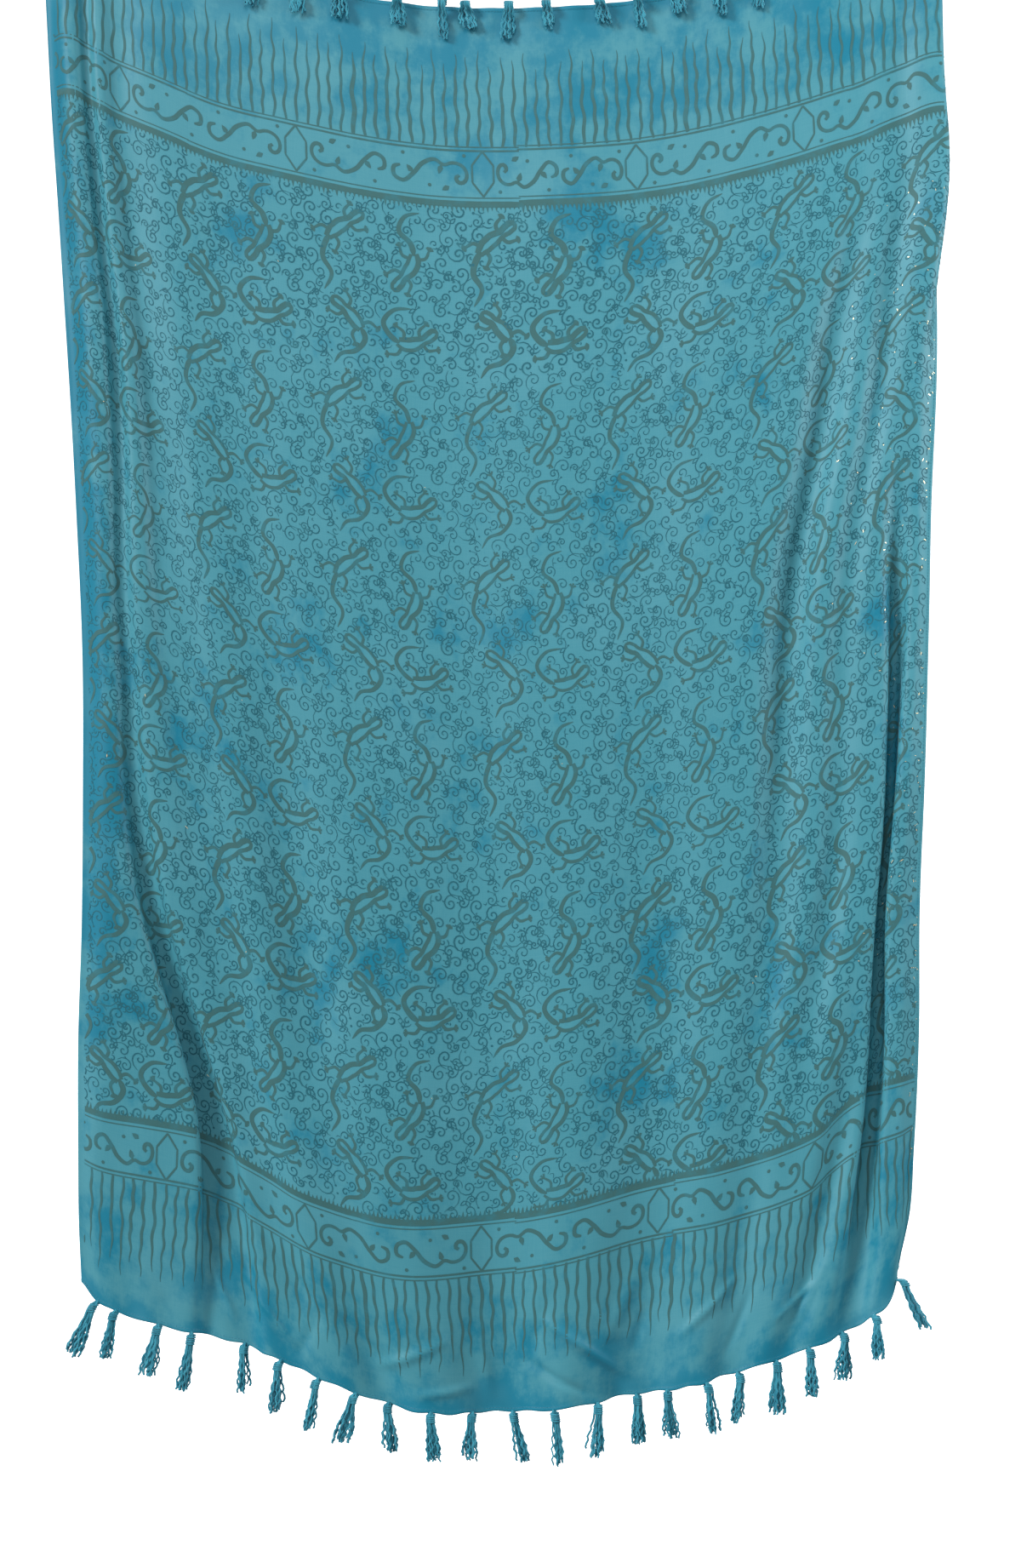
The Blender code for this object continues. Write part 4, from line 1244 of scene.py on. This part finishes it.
class SARONG_OT_stitches(bpy.types.Operator):
    """Sews the rolled hems on both faces and whips the right selvedge"""
    bl_idname = "sarong.sew_hems"
    bl_label = "Sew the hems"

    def execute(self, context):
        sewing = context.scene.sarong_stitching
        tree = stitch_tree(thread_material(sewing.thread))
        across = np.linspace(0.004, CLOTH_WIDTH - 0.004, ROW_POINTS)
        hems = (("top", HEM_STITCHES), ("bottom", CLOTH_LENGTH - HEM_STITCHES))
        rows = [(f"hem_{hem}_{face}", across, np.full(ROW_POINTS, down), side)
                for hem, down in hems for face, side in SIDES]
        at_selvedge = np.full(ROW_POINTS, CLOTH_WIDTH - SELVEDGE_STITCHES)
        rows.append(("selvedge_right", at_selvedge, np.linspace(0.14, CLOTH_LENGTH - 0.01, ROW_POINTS), 1))
        for name, u, v, side in rows:
            path, _ = made["cloth"].at(u, v, side, 0.6 * sewing.thread_radius)
            hang(grown_along(f"stitches_{name}", path, tree, Step=sewing.step, Stitch=sewing.stitch,
                             Thread=sewing.thread_radius), "rayon_turquoise")
        return {"FINISHED"}


class SARONG_OT_fringe(bpy.types.Operator):
    """Knots a tassel of loose yarn at each place along both hems"""
    bl_idname = "sarong.knot_fringe"
    bl_label = "Knot the fringe"

    def execute(self, context):
        yarn, cloth = context.scene.sarong_fringe, made["cloth"]
        tree = tassel_tree(yarn_material(yarn.yarn, yarn.hollow_painted_shade))
        for hem, fringe in (("bottom", LOWER_FRINGE), ("top", UPPER_FRINGE)):
            for number, tassel in enumerate(fringe, start=1):
                spread = yarn.spread * (0.75 + 0.5 * (number * GOLDEN_SHARE % 1))
                if hem == "bottom":
                    guide = lower_guide(cloth, tassel)
                    flatness, seed = LOWER_FLATNESS, number
                else:
                    clear = yarn.yarn_radius + 0.5 * yarn.crimp
                    guide = upper_guide(cloth, tassel, yarn.waist, spread, clear)
                    flatness, seed = UPPER_FLATNESS, number + len(LOWER_FRINGE)
                piece = grown_along(f"fringe_{hem}_{number:02d}", guide, tree, Yarns=yarn.yarns,
                                    Yarn_Radius=yarn.yarn_radius, Waist=yarn.waist, Spread=spread,
                                    Flatness=flatness, Crimp=yarn.crimp, Shortest=yarn.shortest, Seed=seed)
                hang(piece, "fringe_yarn", f"tassel_{hem}_{number:02d}")
        return {"FINISHED"}


class SARONG_OT_stage(bpy.types.Operator):
    """Sets up the pale cove, the soft lights and the camera"""
    bl_idname = "sarong.light_stage"
    bl_label = "Light the stage"

    def execute(self, context):
        settings, scene = context.scene.sarong_stage, context.scene
        paint, _, _ = new_material("plaster_painted_white", Base_Color=linear("#F7F6F3"), Roughness=0.9,
                                   Emission_Color=linear("#FFFFFF"), Emission_Strength=0.85)
        cove(settings.floor_height, paint)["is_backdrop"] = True
        low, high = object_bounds()
        middle_y = (low[1] + high[1]) / 2
        camera = bpy.data.objects.new("camera", bpy.data.cameras.new("camera"))
        camera.data.lens = settings.lens
        camera.location = (0.010, middle_y - settings.distance, -1.033)
        camera.rotation_euler = (math.radians(90), 0, 0)
        scene.collection.objects.link(camera)
        scene.camera = camera
        soft_light("key", "SUN", (-1.5, -1.1, 0.1), (0.0, 0.0, -0.8), math.radians(16), settings.key_power)
        soft_light("fill", "AREA", (0.0, -2.2, 0.9), (0.1, 0.0, -0.25), 1.2, settings.fill_power)
        soft_light("rim", "AREA", (2.3, -0.5, -0.3), (0.5, 0.0, -0.6), 0.8, settings.rim_power)
        soft_light("back", "SUN", (1.0, 2.0, 0.3), (0.0, 0.0, -0.8), math.radians(30), settings.back_power)
        world = bpy.data.worlds.new("surround")
        world.use_nodes = True
        sky = world.node_tree.nodes["Background"]
        sky.inputs["Color"].default_value = linear("#FFFFFF")
        sky.inputs["Strength"].default_value = settings.surround
        scene.world = world
        scene.view_settings.view_transform = "Standard"
        return {"FINISHED"}


def cove(floor_height, material):
    """A round floor that curves up into a wall and closes overhead. It is only a ground to see the cloth
    against: it neither lights the cloth nor stops a light."""
    turn = np.linspace(0, np.pi / 2, 13)
    profile = [(0.0, 0.0)]
    profile += [(9 + 2 * math.sin(a), 2 - 2 * math.cos(a)) for a in turn]
    profile += [(11 * math.cos(a), 2 + 9 * math.sin(a)) for a in turn[1:]]
    rounds = np.linspace(0, 2 * np.pi, 49)[:-1]
    points = np.array([(r * math.cos(a), r * math.sin(a), floor_height + z)
                       for r, z in profile for a in rounds])
    number = np.arange(len(points)).reshape(len(profile), len(rounds))
    below, above = number[:-1].ravel(), number[1:].ravel()
    below_next, above_next = np.roll(number[:-1], -1, 1).ravel(), np.roll(number[1:], -1, 1).ravel()
    piece = mesh_object("cove", points, np.stack([below, above, above_next, below_next], 1), material)
    for ray in ("diffuse", "glossy", "transmission", "shadow"):
        setattr(piece, f"visible_{ray}", False)
    return piece


def soft_light(name, kind, place, aim, size, power):
    """A disc of light, or a distant one whose size is the angle that it fills."""
    light = bpy.data.objects.new(name, bpy.data.lights.new(name, kind))
    if kind == "SUN":
        light.data.angle = size
    else:
        light.data.shape = "DISK"
        light.data.size = size
    light.data.energy = power
    light.location = place
    light.rotation_euler = (Vector(aim) - Vector(place)).to_track_quat("-Z", "Y").to_euler()
    bpy.context.scene.collection.objects.link(light)


class SARONG_PT_panel(bpy.types.Panel):
    """The operators in the order that they are used, and the sizes and colours that they read"""
    bl_label = "Batik Sarong"
    bl_space_type = "VIEW_3D"
    bl_region_type = "UI"
    bl_category = "Sarong"

    def draw(self, context):
        for operator in OPERATORS:
            self.layout.operator(operator.bl_idname)
        for name, group in SETTINGS.items():
            box = self.layout.box()
            for label in group.__annotations__:
                box.prop(getattr(context.scene, name), label)


SETTINGS = {"sarong_cloth": SarongCloth, "sarong_print": SarongPrint, "sarong_fringe": SarongFringe,
            "sarong_stitching": SarongStitching, "sarong_stage": SarongStage}
OPERATORS = (SARONG_OT_cloth, SARONG_OT_print, SARONG_OT_gilding, SARONG_OT_stitches, SARONG_OT_fringe,
             SARONG_OT_stage)


def register():
    for item in (*SETTINGS.values(), *OPERATORS, SARONG_PT_panel):
        bpy.utils.register_class(item)
    for name, group in SETTINGS.items():
        setattr(bpy.types.Scene, name, PointerProperty(type=group))


def unregister():
    for name in SETTINGS:
        delattr(bpy.types.Scene, name)
    for item in (SARONG_PT_panel, *reversed(OPERATORS), *reversed(SETTINGS.values())):
        bpy.utils.unregister_class(item)


def main():
    register()
    bpy.ops.sarong.hang_cloth()
    bpy.ops.sarong.stamp_print()
    bpy.ops.sarong.dab_gilding()
    bpy.ops.sarong.sew_hems()
    bpy.ops.sarong.knot_fringe()
    bpy.ops.sarong.light_stage()


if __name__ == "__main__":
    main()
